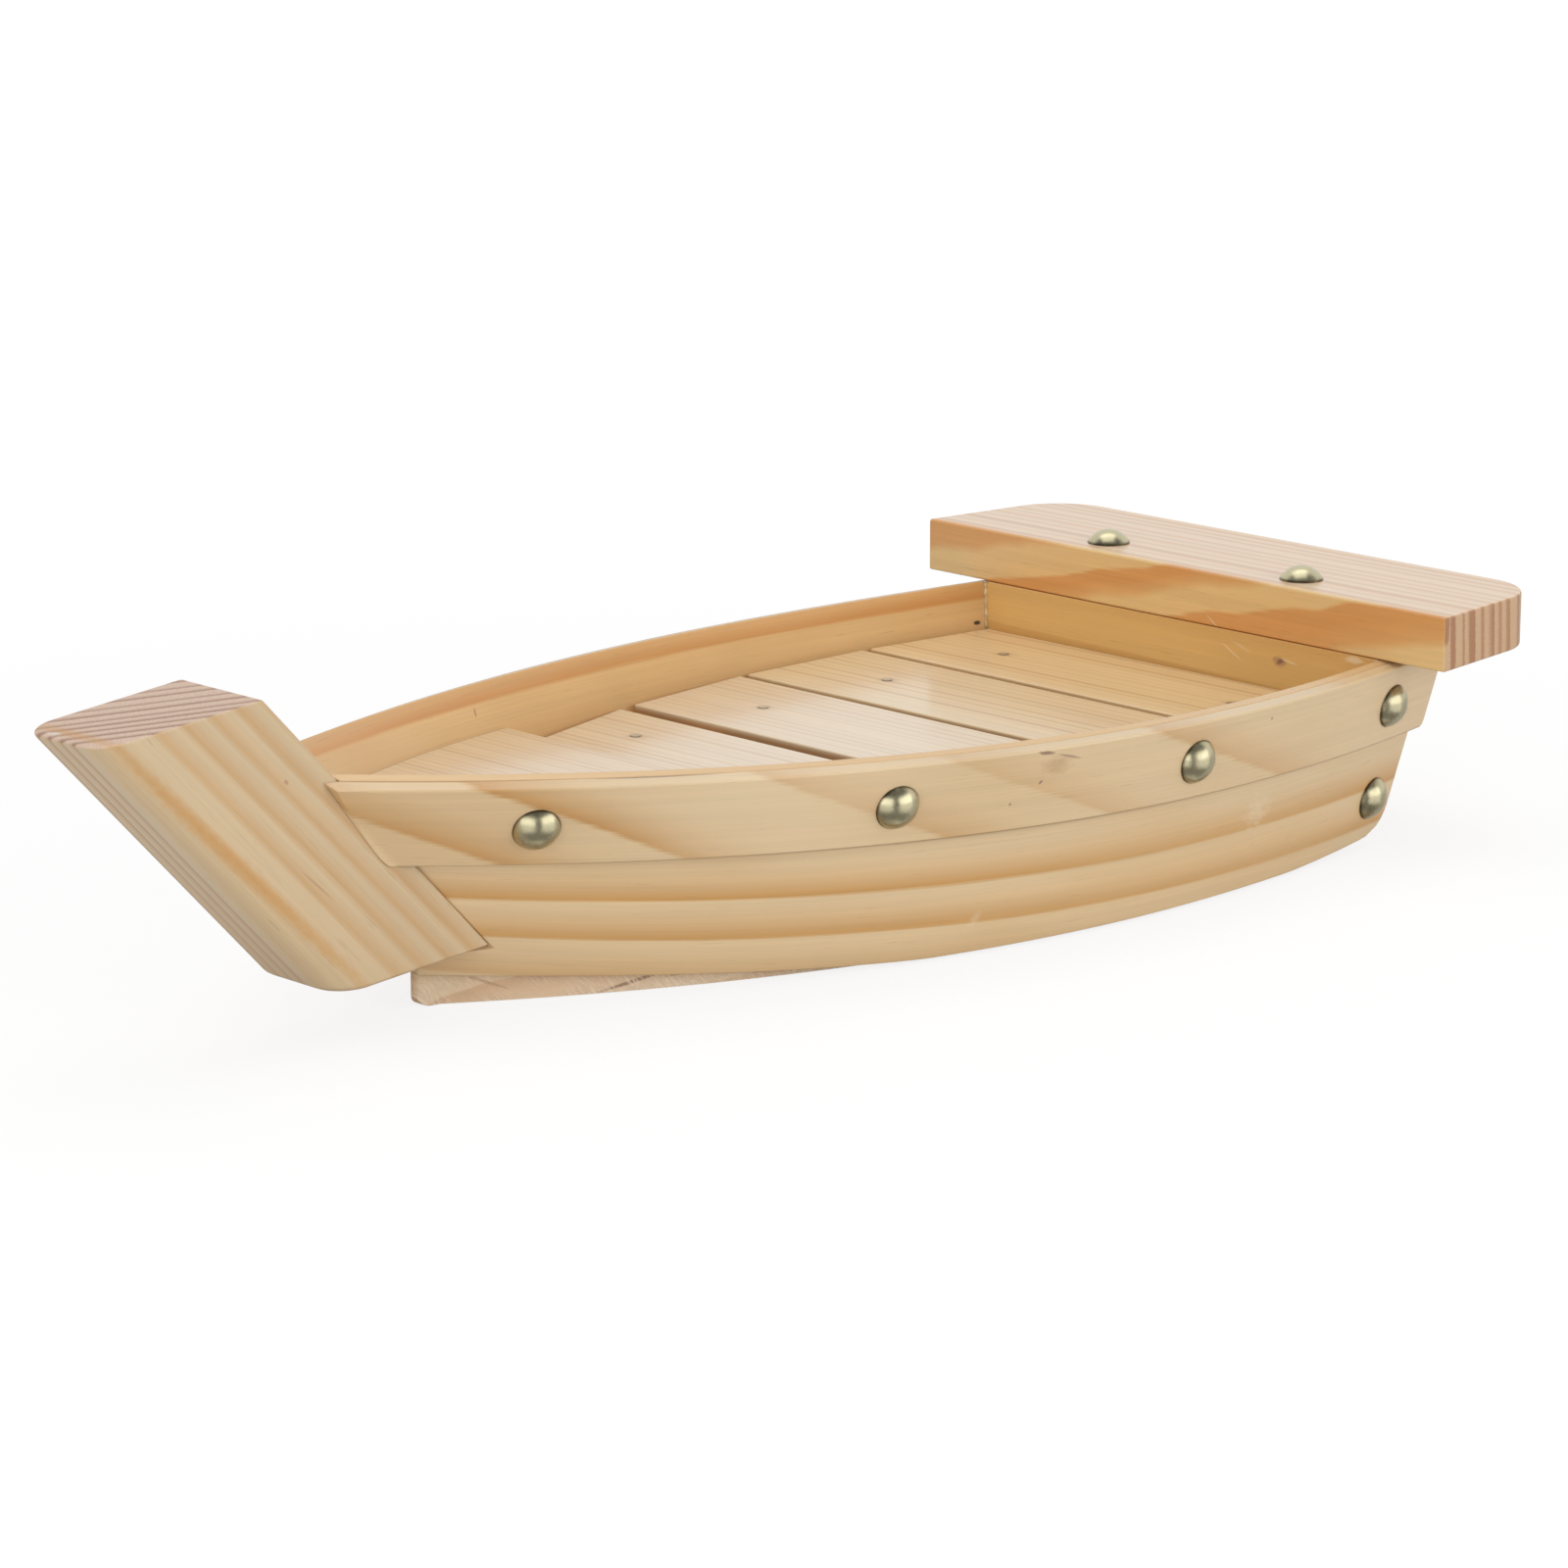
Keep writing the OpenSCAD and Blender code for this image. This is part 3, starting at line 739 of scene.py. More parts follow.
def ring_stops(edges, fade, tail=0.25):
    """Levels of listed rings: each deepens over a distance fade, then dies off over tail.

    edges are (place, strength) in rising order.
    """
    stops = []
    for place, strength in edges:
        start = place - fade
        if stops:
            start = max(start, stops[-1][0] + 0.1)
        stops += [(start, 0.03), (mix(start, place, 0.3), 0.25 * strength),
                  (mix(start, place, 0.65), 0.6 * strength), (mix(start, place, 0.93), strength),
                  (place + tail, 0.03)]
    return stops


def along(origin, ex, ey, ez):
    """Grain place of a flat board: its own axes, measured from origin (s, y, z)."""
    base = Vector((origin[0] + STERN_X, origin[1], origin[2])) * MM

    def place(tree):
        moved = tree.vector("SUBTRACT", tree.here(), base)
        x, y, z = (tree.vector("DOT_PRODUCT", moved, tuple(Vector(e).normalized() / MM))
                   for e in (ex, ey, ez))
        return tree.node("CombineXYZ", X=x, Y=y, Z=z).outputs[0]

    place.axis = Vector(ex).normalized()
    return place


def bent(tree):
    """Grain place of a bent board, kept on its vertices."""
    return tree.attribute("grain", "Vector")


def banded(tree, ring, stops, most=30):
    """Level at a ring place, from given stops of (place, level); a ramp holds 32 stops."""
    amount = None
    for first in range(0, len(stops), most):
        part = stops[first:first + most]
        low, high = part[0][0], part[-1][0]
        shade = tree.ramp(tree.span(ring, low, high, 0, 1),
                          [((at - low) / (high - low), level) for at, level in part])
        amount = shade if amount is None else tree.math("MAXIMUM", amount, shade)
    return amount


MARK_AXES = {"XY": "XYZ", "XZ": "XZY", "YZ": "YZX"}
MARK_DEPTH = 40.0


def mark(at, size, colour, strength=0.7, turn=0, core=0.4, ragged=0.0, plane="XY"):
    """Knot, stain, scratch, or a patch of painted shade or painted light: middle and half sizes in the plane,
    and across it where given.
    """
    at, size = (*at, 0.0)[:3], (*size, MARK_DEPTH)[:3]
    return at, size, colour, strength, math.radians(turn), core, ragged, plane


def add_marks(tree, colour, grain, seeded, marks):
    """Puts marks into the wood as ellipsoids of another colour."""
    axes = tree.node("SeparateXYZ", Vector=grain).outputs
    for at, size, tone, strength, turn, core, ragged, plane in marks:
        x, y, z = (axes[name] for name in MARK_AXES[plane])
        spot = tree.node("CombineXYZ", X=x, Y=y, Z=z).outputs[0]
        spot = tree.node("Mapping", {"vector_type": "TEXTURE"}, Vector=spot, Location=at,
                         Rotation=(0, 0, turn), Scale=size).outputs[0]
        if ragged:
            spot = tree.vector("ADD", spot, tree.jitter(seeded, (0.45, 0.9, 0.9), 2, (ragged,) * 3))
        share = tree.smooth(tree.vector("LENGTH", spot), 1.0, core, 0, strength)
        colour = tree.blend(share, colour, tone)
    return colour


RESIN, END_SPECK, SAW_FUZZ = srgb(142, 96, 52), srgb(120, 88, 72), srgb(244, 224, 198)


def pine(name, place, early, late, normal=(0, 1, 0), pitch=6.0, phase=0.0, profile=RING_PROFILE,
         curve=1500.0, warp=1.2, warp_size=(170, 50, 50), wander=0.18, strength=(0.55, 1.0),
         bands=None, feather=0.0, face=None, marks=(), tint=None, deeper=None, end=None, strake_shadow=None,
         end_speck=0.2, fibre=1.0, gloss=0.36, coat=0.2, coat_rough=0.22, relief=1.0, sawn=0.0, seed=0.0):
    """Varnished pine as a solid block of growth rings.

    normal is the way that rings are counted, in grain axes; curve is how far off the pith is.
    bands are listed rings; face is (normal, stops, depth) of rings seen on one face only.
    deeper is ((early, late), from, to) across the board; a colour given for under the strakes is painted
    shade, a dark line along their lower edges.
    """
    tree = Tree(bpy.data.materials.new(name))
    grain = place(tree)
    seeded = tree.vector("ADD", grain, (seed * 97.0, seed * 31.0, seed * 53.0))
    thread = tree.noise(seeded, (0.02, 1.9, 1.9), detail=3, roughness=0.6)
    streak = tree.noise(seeded, (0.006, 0.28, 0.28), detail=3)
    blotch = tree.noise(seeded, (0.011, 0.035, 0.035), detail=2)
    dash = tree.noise(seeded, (0.1, 2.6, 2.6), detail=1)

    # Rings: distance from the pith, drifting slowly along the board
    drift = tree.jitter(seeded, tuple(1 / w for w in warp_size), 2.5, (0, 2 * warp, 2 * warp))
    ripple = tree.jitter(seeded, (1 / 28, 1 / 9, 1 / 9), 3, (0, 0.22 * warp, 0.22 * warp))
    moved = tree.vector("ADD", tree.vector("ADD", grain, drift), ripple)
    across = Vector((0, normal[1], normal[2]))
    pith = -across.normalized() * curve
    radial = tree.vector("MULTIPLY", tree.vector("SUBTRACT", moved, tuple(pith)), (0, 1, 1))
    ring = tree.math("SUBTRACT", tree.vector("LENGTH", radial), curve)
    ring = tree.math("MULTIPLY", ring, across.length)
    ring = tree.math("ADD", ring, tree.vector("DOT_PRODUCT", moved, (normal[0], 0, 0)))
    jag = tree.span(thread, 0.2, 0.8, -feather, feather)
    ring = tree.math("ADD", ring, jag)
    if bands:
        late_share = banded(tree, ring, bands)
    else:
        count = tree.math("DIVIDE", tree.math("SUBTRACT", ring, phase), pitch)
        sway = tree.node("TexNoise", {"noise_dimensions": "1D"}, W=count, Scale=0.7, Detail=1.0)
        count = tree.math("ADD", count, tree.span(sway.outputs["Fac"], 0.2, 0.8, -wander, wander))
        pick = tree.node("TexWhiteNoise", {"noise_dimensions": "1D"},
                         W=tree.math("ADD", tree.math("FLOOR", count), seed * 7.0 + 0.5))
        late_share = tree.math("MULTIPLY", tree.ramp(tree.math("FRACT", count), profile),
                               tree.span(pick.outputs["Value"], 0, 1, *strength))
    if face:
        face_normal, stops, depth = face
        over = tree.math("ADD", tree.vector("DOT_PRODUCT", moved, face_normal), jag)
        wave = tree.noise(seeded, (1 / 24, 0, 1 / 30), detail=2)
        over = tree.math("ADD", over, tree.span(wave, 0.2, 0.8, -1.7, 1.7))
        near = tree.smooth(tree.axis(grain, "Y"), depth, 0.4 * depth)
        both = {0: near, 2: late_share, 3: banded(tree, over, stops)}
        late_share = tree.join("Mix", both, {"data_type": "FLOAT"})

    # Colour: rings, blotches, end grain, fibres, resin dashes, marks, and painted shade along the strakes'
    # lower edges
    if deeper:
        inside, begin, stop = deeper
        depth_share = tree.smooth(tree.axis(grain, "Y"), begin, stop)
        early = tree.blend(depth_share, early, inside[0])
        late = tree.blend(depth_share, late, inside[1])
    colour = tree.blend(late_share, early, late)
    if tint:
        colour = tree.blend(tree.smooth(blotch, 0.42, 0.68, 0, 0.35), colour, tint)
    shade = tree.math("ADD", tree.span(thread, 0.25, 0.75, -0.055 * fibre, 0.04 * fibre),
                      tree.span(streak, 0.25, 0.75, -0.05 * fibre, 0.05 * fibre))
    colour = tree.vector("SCALE", colour, tree.math("ADD", shade, 1.0))
    colour = tree.blend(tree.smooth(dash, 0.68, 0.78, 0, 0.22 * fibre), colour, RESIN)
    if end:
        facing = tree.math("ABSOLUTE", tree.vector(
            "DOT_PRODUCT", tree.node("NewGeometry").outputs["Normal"], tuple(place.axis)))
        speck = tree.noise(seeded, (0.4, 2.4, 2.4), detail=2)
        cut = tree.blend(tree.smooth(late_share, 0.08, 0.6), *end)
        cut = tree.blend(tree.smooth(speck, 0.42, 0.66, 0, end_speck), cut, END_SPECK)
        colour = tree.blend(tree.smooth(facing, 0.5, 0.7), colour, cut)
    colour = add_marks(tree, colour, grain, seeded, marks)
    # Painted shade: a dark line on the outer faces along and just below the strakes' lower edges, where their
    # shadow falls
    if strake_shadow:
        below = tree.attribute("below_strake")
        line = tree.math("MULTIPLY", tree.smooth(below, 2.5, 1.3), tree.smooth(below, -0.5, -0.1))
        outer = tree.smooth(tree.axis(grain, "Z"), 2.1, 2.4, 0, 0.7)
        colour = tree.blend(tree.math("MULTIPLY", line, outer), colour, strake_shadow)
    height = tree.math("ADD", tree.math("MULTIPLY", thread, 0.6), tree.math("MULTIPLY", late_share, 0.5))
    if sawn:
        slant = [tree.vector("DOT_PRODUCT", seeded, row) for row in ((1.5, 0.4, -0.9), (0.1, 0.3, 0.35))]
        slant = tree.node("CombineXYZ", X=slant[0], Y=slant[1]).outputs[0]
        tooth = tree.noise(slant, (1, 1, 1), detail=3, roughness=0.6)
        patch = tree.smooth(tree.noise(seeded, (0.03, 0.09, 0.09), detail=1), 0.3, 0.5)
        tooth = tree.math("MULTIPLY", tree.smooth(tooth, 0.42, 0.62), patch)
        colour = tree.blend(tree.math("MULTIPLY", tooth, 0.35 * sawn), colour, SAW_FUZZ)
        height = tree.math("ADD", height, tree.math("MULTIPLY", tooth, 1.2 * sawn))

    rough = tree.span(streak, 0.25, 0.75, gloss - 0.05, gloss + 0.07)
    rough = tree.math("ADD", rough, tree.span(thread, 0.2, 0.8, -0.03, 0.03))
    if end:
        rough = tree.math("MAXIMUM", rough, tree.smooth(facing, 0.5, 0.7, 0, 0.6))
    bump = tree.node("Bump", Height=height, Strength=0.22 * relief, Distance=0.00025)
    return tree.surface(Base_Color=colour, Roughness=rough, Normal=bump.outputs["Normal"],
                        Coat_Weight=coat, Coat_Roughness=coat_rough)


def antique_brass(name, base, dark, rough):
    """Dull plated metal, darker in tarnished patches and in its small dents, with painted shade at the rim
    where the head meets the wood.
    """
    tree = Tree(bpy.data.materials.new(name))
    here = tree.vector("SCALE", tree.here(), 1 / MM)
    cloud = tree.noise(here, (0.35, 0.35, 0.35), detail=4, roughness=0.6)
    fine = tree.noise(here, (2.2, 2.2, 2.2), detail=3)
    # Painted shade: darker towards the rim of the head, where it meets the wood; the noise below adds tarnish
    tarnish_and_rim_shade = tree.math("MULTIPLY", tree.smooth(tree.attribute("rim"), 0.88, 1.0), 0.85)
    tarnish_and_rim_shade = tree.math("ADD", tarnish_and_rim_shade, tree.smooth(cloud, 0.5, 0.75, 0, 0.12))
    tarnish_and_rim_shade = tree.math("ADD", tarnish_and_rim_shade, tree.smooth(fine, 0.6, 0.8, 0, 0.04), clamp=True)
    dent = tree.noise(here, (0.35, 0.35, 0.35), detail=2)
    dent = tree.math("ADD", dent, tree.math("MULTIPLY", fine, 0.02))
    bump = tree.node("Bump", Height=dent, Strength=0.05, Distance=0.0004)
    return tree.surface(Base_Color=tree.blend(tarnish_and_rim_shade, base, dark), Metallic=1.0,
                        Roughness=tree.span(cloud, 0.25, 0.75, rough - 0.05, rough + 0.1),
                        Normal=bump.outputs["Normal"])


def glue_look():
    """Dried glue: a little darker and yellower in places."""
    tree = Tree(bpy.data.materials.new("dried_glue"))
    here = tree.vector("SCALE", tree.here(), 1 / MM)
    cloud = tree.noise(here, (0.6, 0.6, 0.3), detail=3)
    colour = tree.blend(tree.smooth(cloud, 0.35, 0.7), srgb(224, 202, 164), srgb(208, 174, 122))
    return tree.surface(Base_Color=colour, Roughness=tree.span(cloud, 0.2, 0.8, 0.25, 0.45))


X, Y, Z = (1, 0, 0), (0, 1, 0), (0, 0, 1)
POST_UP = (math.sin(POST_LEAN), 0, math.cos(POST_LEAN))
POST_OUT = (math.cos(POST_LEAN), 0, -math.sin(POST_LEAN))
TRANSOM_UP, TRANSOM_OUT = (-TRANSOM_RAKE, 0, 1), (1, 0, TRANSOM_RAKE)
END_GRAIN = srgb(219, 191, 168), srgb(173, 133, 111)
# Colour of the painted shade along the strakes' lower edges
STRAKE_SHADOW_BROWN = srgb(128, 90, 50)
KNOT, KNOT_RIM, SCRATCH = srgb(112, 74, 66), srgb(168, 124, 88), srgb(240, 222, 186)
RUBBED, NOSE_CHECK = srgb(238, 222, 192), srgb(146, 116, 88)
# Half depth of a mark that runs right through a board
THROUGH = 400.0

brass = antique_brass("antique_brass", srgb(194, 186, 153), srgb(84, 68, 42), 0.27)
steel = antique_brass("steel_pin", srgb(190, 174, 148), srgb(120, 98, 72), 0.42)

post_edges = [(-18.0, 0.5), (-13.8, 0.6), (-9.6, 0.6), (-5.0, 0.5), (-1.0, 0.6), (3.5, 0.5), (7.6, 0.65),
              (11.6, 0.55), (14.9, 0.65), (18.2, 0.6), (21.7, 0.65), (25.2, 0.6), (29.58, 0.15)]
post_marks = [
    mark((8.0, 30.4), (86.0, 2.7), srgb(203, 149, 82), 0.8, turn=1.8, core=0.25, ragged=0.35),
    mark((33.6, -4.5), (1.5, 3.2, 120.0), srgb(240, 232, 222), 0.5, ragged=0.8, plane="YZ"),
    mark((10.0, 9.2), (1.2, 0.7), KNOT_RIM, 0.6),
    mark((-14.0, 20.5), (9.0, 0.35), KNOT_RIM, 0.5, turn=4)]
post_marks += [mark((POST_DEPTH, y), (1.6, 0.7, THROUGH), NOSE_CHECK, 0.4, core=0.2, ragged=0.3, plane="YZ")
               for y in (-8.0, -3.9, 0.5, 4.9)]
post_wood = pine(
    "post_pine", along((HULL_LENGTH, 0, BOW_HEIGHT), POST_UP, POST_OUT, Y), srgb(211, 187, 150),
    srgb(196, 147, 88), normal=(-0.0096, 0.6, 0.8), warp=0.25, warp_size=(90, 30, 30),
    bands=ring_stops(post_edges, 2.5, 0.8), feather=0.22, seed=1.0, tint=srgb(206, 175, 131),
    end=END_GRAIN, coat=0.12, marks=post_marks)

port_edges = [(3.0, 0.7), (11.0, 0.8), (19.5, 0.7), (35.6, 1.0), (46.5, 0.95), (57.5, 0.5)]
port_wood = pine(
    "port_board_pine", bent, srgb(227, 201, 160), srgb(206, 156, 91), warp=0.6,
    warp_size=(260, 90, 40), bands=ring_stops(port_edges, 9.5), feather=0.3, seed=2.0,
    tint=srgb(216, 179, 127), strake_shadow=STRAKE_SHADOW_BROWN,
    marks=[mark((50.0, 31.0), (7.0, 6.0), RUBBED, 0.4, turn=10, core=0.0, ragged=1.6),
           mark((142.0, 46.0), (4.0, 1.6), RUBBED, 0.3, turn=60, core=0.0, ragged=1.4)])
starboard_edges = [(5.0, 1.0), (19.0, 0.6), (31.0, 0.8), (43.0, 0.7), (56.0, 0.6)]
starboard_wood = pine(
    "starboard_board_pine", bent, srgb(226, 187, 130), srgb(206, 143, 76), warp=0.7,
    warp_size=(260, 90, 40), bands=ring_stops(starboard_edges, 9.0), feather=0.3, seed=3.0,
    tint=srgb(208, 163, 104), strake_shadow=STRAKE_SHADOW_BROWN,
    marks=[mark((200.8, 6.9), (0.5, 1.6), KNOT, 0.6),
           # A tiny hole near the stern corner, drawn as a near-black spot: painted shade in place of its
           # hollow
           mark((6.3, 10.9), (1.6, 0.8), srgb(38, 26, 18), 0.95)])

FLAME_SHIFT = 9
flames = [(40.0, 0.6), (64.3, 0.45), (83.6, 0.85), (110.3, 1.0), (128.6, 0.95)]
strake_look = dict(normal=(0.39, 1, 0.2), warp=1.3, warp_size=(70, 60, 30), feather=0.7,
                   tint=srgb(212, 180, 134), strake_shadow=STRAKE_SHADOW_BROWN, coat=0.4, coat_rough=0.2)
strake_marks = [
    mark((134.0, 0.9), (3.6, 0.6), KNOT, turn=-8, ragged=1.1),
    mark((126.9, 2.6), (5.0, 0.45), KNOT, 0.5, turn=-14, ragged=0.7),
    mark((130.0, 4.5), (6.5, 3.4), KNOT_RIM, 0.45, core=0.1, ragged=0.8),
    mark((134.2, 8.5), (0.9, 0.5), KNOT, turn=40),
    mark((142.1, 13.4), (0.5, 0.5), KNOT),
    mark((56.0, 3.5), (0.6, 0.5), srgb(176, 96, 66)),
    # Painted shade: dark lines on top along the seam between board and strake near the bow, standing in for
    # the shadow in the gap
    mark((235.0, STRAKE_IN), (20.0, 0.8), KNOT, 0.75, core=0.5, plane="XZ"),
    mark((286.0, STRAKE_IN), (38.0, 0.6), KNOT_RIM, plane="XZ"),
    # Painted shade: a broad, darker golden patch over the strake's bow end
    mark((292.0, 10.0), (62.0, 40.0), srgb(198, 150, 84), 0.22, core=0.0),
    # Painted light: a broad pale patch over the strake's middle, standing in for a sheen
    mark((200.0, 8.0), (55.0, 40.0), srgb(240, 220, 184), 0.35, core=0.0)]
port_strake_wood = pine(
    "port_strake_pine", bent, srgb(221, 195, 154), srgb(197, 148, 89), seed=4.0,
    bands=ring_stops(flames, 11.0, 0.5), marks=strake_marks, **strake_look)
starboard_strake_wood = pine(
    "starboard_strake_pine", bent, srgb(221, 195, 155), srgb(201, 152, 94), seed=5.0,
    bands=ring_stops([(at + FLAME_SHIFT, strength) for at, strength in flames], 11.0, 0.5), **strake_look)

SEAT_SLOPE = 0.207
seat_stops = [(-20, 0.0), (-12, 0.05), (-9.5, 0.8), (-4, 1.0), (0, 0.95), (1.0, 0.05), (6.5, 0.0),
              (9.0, 0.7), (12, 1.0), (14.3, 0.95), (15.2, 0.05), (22.5, 0.05), (25, 0.8), (40, 0.9)]
stern_wood = pine(
    "stern_plank_pine", along((0, 0, STERN_HEIGHT), Y, (-1, 0, 0), Z), srgb(232, 194, 133),
    srgb(219, 155, 88), normal=(0, 1, 0.05), pitch=4.4, phase=1.5, warp=0.7, warp_size=(60, 30, 30),
    profile=EVEN_PROFILE, strength=(0.3, 0.95), wander=0.4, seed=6.0,
    face=((-SEAT_SLOPE, 0, 1), seat_stops, 2.2), feather=0.35,
    deeper=((srgb(233, 206, 174), srgb(208, 161, 118)), 0.8, 3.0),
    end=(srgb(204, 167, 128), srgb(171, 120, 82)), end_speck=0.1, coat=0.35,
    marks=[mark((13.0, 1.4), (3.4, 0.22, 3.0), SCRATCH, turn=-36, plane="XZ")])
transom_wood = pine(
    "transom_pine", along((0, 0, STERN_HEIGHT), Y, TRANSOM_UP, TRANSOM_OUT), srgb(228, 183, 111),
    srgb(211, 156, 85), normal=(0.03, 0.9, 0.4), pitch=13.0, phase=2.0, warp=2.5, seed=7.0,
    tint=srgb(204, 155, 87), end=END_GRAIN,
    marks=[mark((20.5, -5.4), (5.5, 0.3), SCRATCH, 0.45, turn=-26, ragged=0.3),
           mark((23.5, -3.6), (5.0, 0.25), SCRATCH, 0.35, turn=-18),
           mark((36.7, -5.5), (3.4, 1.5), KNOT_RIM, turn=-12, ragged=0.9),
           mark((36.9, -5.4), (1.6, 0.8), KNOT, turn=20, ragged=0.8),
           mark((40.0, -5.0), (3.6, 0.3), SCRATCH, 0.5, turn=-8),
           mark((61.0, -1.2), (4.0, 1.1), SCRATCH, 0.5, ragged=0.8)])
sawn_wood = pine(
    "bottom_board_pine", along((100, 0, 0), X, Y, Z), srgb(229, 205, 173), srgb(204, 164, 124),
    normal=(0.34, 0.3, 0.9), pitch=11.0, warp=3.0, seed=8.0, warp_size=(40, 30, 20),
    tint=srgb(224, 188, 158), gloss=0.6, coat=0.0, relief=2.0, sawn=1.6,
    end=(srgb(224, 191, 150), srgb(204, 166, 122)), end_speck=0.08, strength=(0.35, 0.9),
    marks=[mark((118.0, 2.2), (9.5, 0.6, THROUGH), srgb(122, 84, 62), turn=-15, ragged=0.3, plane="XZ"),
           mark((103.0, 3.5), (9.0, 0.5, THROUGH), KNOT_RIM, turn=-6, ragged=0.7, plane="XZ"),
           mark((150.0, 5.5), (9.0, 0.5, THROUGH), KNOT_RIM, 0.5, turn=24, ragged=0.5, plane="XZ")])
bearer_wood = pine(
    "bearer_pine", along((0, 0, 20), X, Y, Z), srgb(208, 176, 132), srgb(190, 148, 98), pitch=5.0,
    seed=9.0, gloss=0.55, coat=0.0, sawn=0.5, end=END_GRAIN)
EDGE_BROWN, NAIL_HALO, NAIL_STAIN = srgb(184, 124, 64), srgb(176, 144, 106), srgb(138, 108, 80)


def floor_wood(number, aft, fore, nail_at, early, late):
    """Floor plank wood, browner down its long edges and stained round its two nails."""
    marks = [mark((edge, -3.6), (1.6, 3.4, THROUGH), EDGE_BROWN, 0.75, core=0.6, plane="YZ")
             for edge in (0.0, fore - aft)]
    if nail_at is not None:
        for y in (-BEARER_AT, BEARER_AT):
            marks += [mark((y + 0.6, nail_at), (5.0, 4.4), NAIL_HALO, 0.35, core=0.1, ragged=1.0),
                      mark((y, nail_at), (2.4, 2.2), NAIL_STAIN, 0.5, core=0.55, ragged=0.5)]
    return pine("floor_pine_%d" % number, along((aft, 0, FLOOR_TOP), Y, X, Z), early, late,
                normal=(0.012, 1, 0.35), pitch=3.1, wander=0.35, warp=0.8, warp_size=(150, 40, 40),
                profile=SOFT_PROFILE, strength=(0.08, 0.75), feather=0.25, seed=10.0 + number, gloss=0.34,
                coat=0.7, coat_rough=0.17, marks=marks, end=END_GRAIN)


# Pieces

SIDES = ((1, "port"), (-1, "starboard"))

finish_piece("bow_post_block", post_mesh(), post_wood, "bow_post", sharp=180)

verts, faces, grain = side_board_mesh()
for (side, word), wood in zip(SIDES, (port_wood, starboard_wood)):
    finish_piece(word + "_side_plank", (handed(verts, side), faces), wood, word + "_side_board",
                 0.28, grain, 2)

verts, faces, grain, top_outer, nose = strake_mesh()


def strake_ease(a, b):
    if a in nose and b in nose:
        return 0.12
    return 0.6 if a in top_outer and b in top_outer else 0.3


for (side, word), wood in zip(SIDES, (port_strake_wood, starboard_strake_wood)):
    finish_piece(word + "_rubbing_strake", (handed(verts, side), faces), wood, word + "_strake",
                 strake_ease, grain)

finish_piece("bottom_plank", bottom_board_mesh(), sawn_wood, "bottom_board", 0.4,
             segments=2, sharp=40)

for side, word in SIDES:
    aft = transom_in(TRANSOM_LOW) + GLUE
    inner, outer = side * (BEARER_AT - BEARER_WIDTH / 2), side * (BEARER_AT + BEARER_WIDTH / 2)
    rail = prism([(aft, inner), (BEARER_REACH, inner), (BEARER_REACH, outer), (aft, outer)],
                 BOTTOM_T + GLUE, PLANK_UNDER - GLUE)
    finish_piece(word + "_floor_rail", rail, bearer_wood, "floor_bearer_" + word, 0.5)

# Early and late wood of the floor planks
FLOOR_PALE = srgb(233, 210, 176), srgb(204, 162, 114)
FLOOR_GOLD = srgb(234, 208, 164), srgb(198, 152, 98)
AFT_GOLD = srgb(242, 212, 163), srgb(200, 152, 92)
BOW_GOLD = srgb(227, 199, 157), srgb(196, 150, 98)
floor_planks = ((2, PLANK2, FLOOR_PALE), (3, PLANK3, FLOOR_PALE), (4, PLANK4, FLOOR_GOLD),
                (5, PLANK5, AFT_GOLD))
for (number, (aft, fore), colours), nail_s in zip(floor_planks, FLOOR_NAIL_S):
    wood = floor_wood(number, aft, fore, nail_s - aft, *colours)
    finish_piece("floor_slat_%d" % number, floor_plank_mesh(aft, fore), wood,
                 "floor_plank_%d" % number, 0.45)
wood = floor_wood(1, PLANK2[1], HULL_LENGTH, None, *BOW_GOLD)
finish_piece("bow_slat", bow_plank_mesh(), wood, "bow_floor_plank", 0.4)

finish_piece("transom_board", transom_mesh(), transom_wood, "transom", 0.4)
finish_piece("stern_seat", stern_plank_mesh(), stern_wood, "stern_plank", 0.7)

glue = glue_look()
for side, word in SIDES:
    finish_piece(word + "_glue_bead", glue_bead_mesh(side), glue, None, sharp=180)

# Nails: strake nails stand square on the leaning sides
STRAKE_NAIL_SHARES = (0.857, 0.576, 0.271)
LAST_STRAKE_NAIL_S = -1.5
STRAKE_NAIL_DROP = 0.52
SIDE_NAIL = (-6.5, POST_BOTTOM - 2.3)
PLANK_NAIL = (-10.9, 33.6)
STRAKE_SHANK, SIDE_SHANK, PLANK_SHANK = 5.3, 12.0, 24.0
HEAD_LIFT = 0.02


def on_side(s, z, t, side):
    aim = outward(s, z)
    return (s, side * face_y(s, z, t + HEAD_LIFT), z), (aim.x, side * aim.y, aim.z)


for side, word in SIDES:
    places = []
    for s in [HULL_LENGTH * share for share in STRAKE_NAIL_SHARES] + [LAST_STRAKE_NAIL_S]:
        drop = STRAKE_HEIGHT * STRAKE_NAIL_DROP + sink(s, sheer_z(s), STRAKE_OUT)
        places.append(on_side(s, sheer_z(s) - drop, STRAKE_OUT, side))
    nail_piece(word + "_strake_studs", places, domed_profile(STRAKE_SHANK), brass,
               word + "_strake_nails")
nail_piece("transom_side_studs", [on_side(*SIDE_NAIL, BOARD_T, side) for side in (1, -1)],
           domed_profile(SIDE_SHANK), brass, "transom_side_nails")
top = STERN_HEIGHT + GLUE + STERN_PLANK_T
nail_piece("stern_studs", [((PLANK_NAIL[0], side * PLANK_NAIL[1], top), Z) for side in (1, -1)],
           domed_profile(PLANK_SHANK), brass, "stern_plank_nails")
pin_r = PIN_HEAD_D / 2
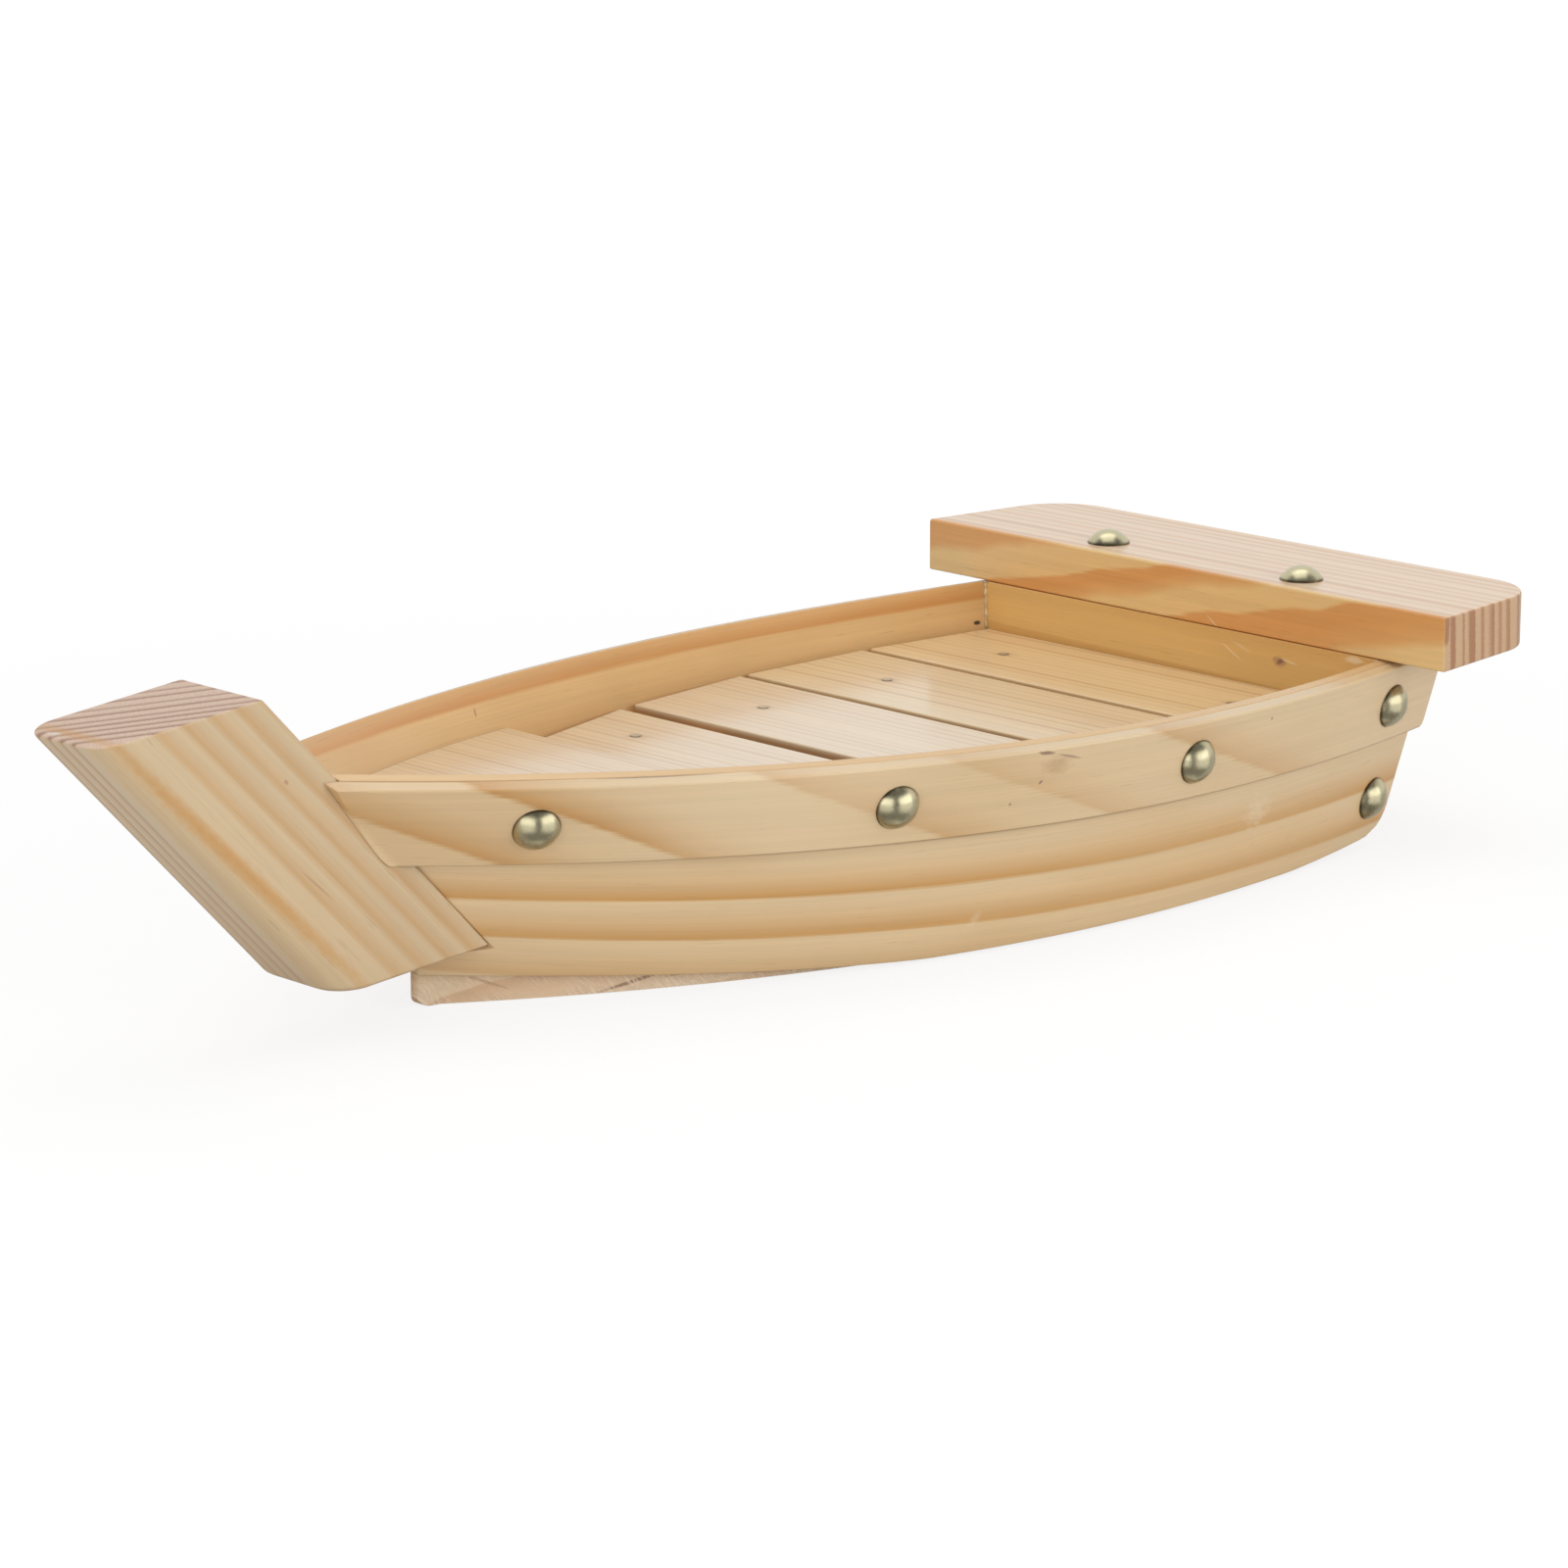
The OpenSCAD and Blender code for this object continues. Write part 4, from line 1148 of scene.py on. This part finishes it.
pin_profile = [(0, 0.06, 0.0), (0.55, 0.07, 0.2), (0.95, 0.16, 0.7), (pin_r - 0.15, 0.14, 1.0),
               (pin_r, 0.0, 1.0), (pin_r, -0.6, 1.0), (PIN_D / 2, -0.8, 1.0),
               (PIN_D / 2, PIN_POINT - PIN_LENGTH, 1.0), (0, -PIN_LENGTH, 1.0)]
nail_piece("floor_pins", [((s, side * BEARER_AT, FLOOR_TOP), Z) for s in FLOOR_NAIL_S for side in (1, -1)],
           pin_profile, steel, "floor_nails", steps=24)

# Stage: white floor and world for the camera, soft studio light

FLOOR_HALF, FLOOR_DROP = 9.0, 0.0002
floor_mesh = bpy.data.meshes.new("studio_floor")
floor_mesh.from_pydata([(x * FLOOR_HALF, y * FLOOR_HALF, -FLOOR_DROP)
                        for x, y in ((-1, -1), (1, -1), (1, 1), (-1, 1))], [], [(0, 1, 2, 3)])
floor = add_object("studio_floor", floor_mesh)


def paper_look():
    """White paper: the camera sees it bright, and fully white away from the boat."""
    tree = Tree(bpy.data.materials.new("studio_paper"))

    def grey(shade, kind="BsdfDiffuse", **values):
        return tree.node(kind, Color=(shade, shade, shade, 1), **values).outputs[0]

    off = tree.vector("LENGTH", tree.here())
    glow = tree.node("Emission", Strength=1.06).outputs[0]
    seen = tree.either(tree.smooth(off, 0.25, 0.8, 0.78, 1.0), grey(0.88), glow)
    # In gloss, the paper on the port side is duller
    dull = tree.join("AddShader", {0: grey(0.2), 1: grey(0.45, "BsdfAnisotropic", Roughness=0.2)})
    path = tree.node("LightPath").outputs
    port = tree.smooth(tree.axis(tree.here(), "Y"), 0.0, 0.06)
    unseen = tree.either(tree.math("MULTIPLY", path["Is Glossy Ray"], port), grey(0.72), dull)
    surface = tree.either(path["Is Camera Ray"], unseen, seen)
    tree.fill(tree.nodes["Material Output"], {"Surface": surface})
    return tree.owner


floor_mesh.materials.append(paper_look())

SOFT_LIGHT, WHITE, DARK_SIDE = 0.5, 1.0, 0.12
BACKDROP_WAY = (-0.7, -0.715, 0.0)
room = Tree(bpy.data.worlds.new("studio"))
scene.world = room.owner
room.nodes.clear()
soft, white, dim = (room.node("Background", Color=(1, 1, 1, 1), Strength=power).outputs[0]
                    for power in (SOFT_LIGHT, WHITE, DARK_SIDE))
path = room.node("LightPath").outputs
# In gloss, the paper behind the boat is white and the room behind the camera is dim
ahead = room.vector("DOT_PRODUCT", room.node("TexCoord").outputs["Generated"], BACKDROP_WAY)
gloss = room.either(room.smooth(ahead, -0.15, 0.35), dim, white)
unseen = room.either(path["Is Glossy Ray"], soft, gloss)
room.node("OutputWorld", Surface=room.either(path["Is Camera Ray"], unseen, white))

CAMERA_AT = Vector((0.86194, 0.89503, 0.34476))
CAMERA_LOOK = Vector((-0.6785, -0.6935, -0.2422))
CAMERA_LENS = 121.0


def softbox(name, at, aim, size, power):
    lamp = bpy.data.lights.new(name, "AREA")
    lamp.shape = "RECTANGLE"
    lamp.size, lamp.size_y = size
    lamp.energy = power
    holder = add_object(name, lamp)
    holder.location = at
    holder.rotation_euler = (Vector(aim) - Vector(at)).to_track_quat("-Z", "Y").to_euler()


softbox("port_softbox", (-0.5, 1.47, 0.42), (0, 0, 0.04), (1.9, 0.8), 9.8)
softbox("bow_softbox", (1.5, 0.6, 0.41), (0, 0, 0.04), (1.9, 0.8), 9.2)
softbox("top_softbox", (-0.1, -0.1, 1.6), (0, 0, 0), (1.4, 1.4), 8.1)

camera_data = bpy.data.cameras.new("camera")
camera_data.lens = CAMERA_LENS
camera_data.sensor_width = 36.0
camera_data.clip_start, camera_data.clip_end = 0.05, 60.0
camera = add_object("camera", camera_data)
camera.location = CAMERA_AT
camera.rotation_euler = CAMERA_LOOK.to_track_quat("-Z", "Y").to_euler()
scene.camera = camera
scene.view_settings.view_transform = "Standard"
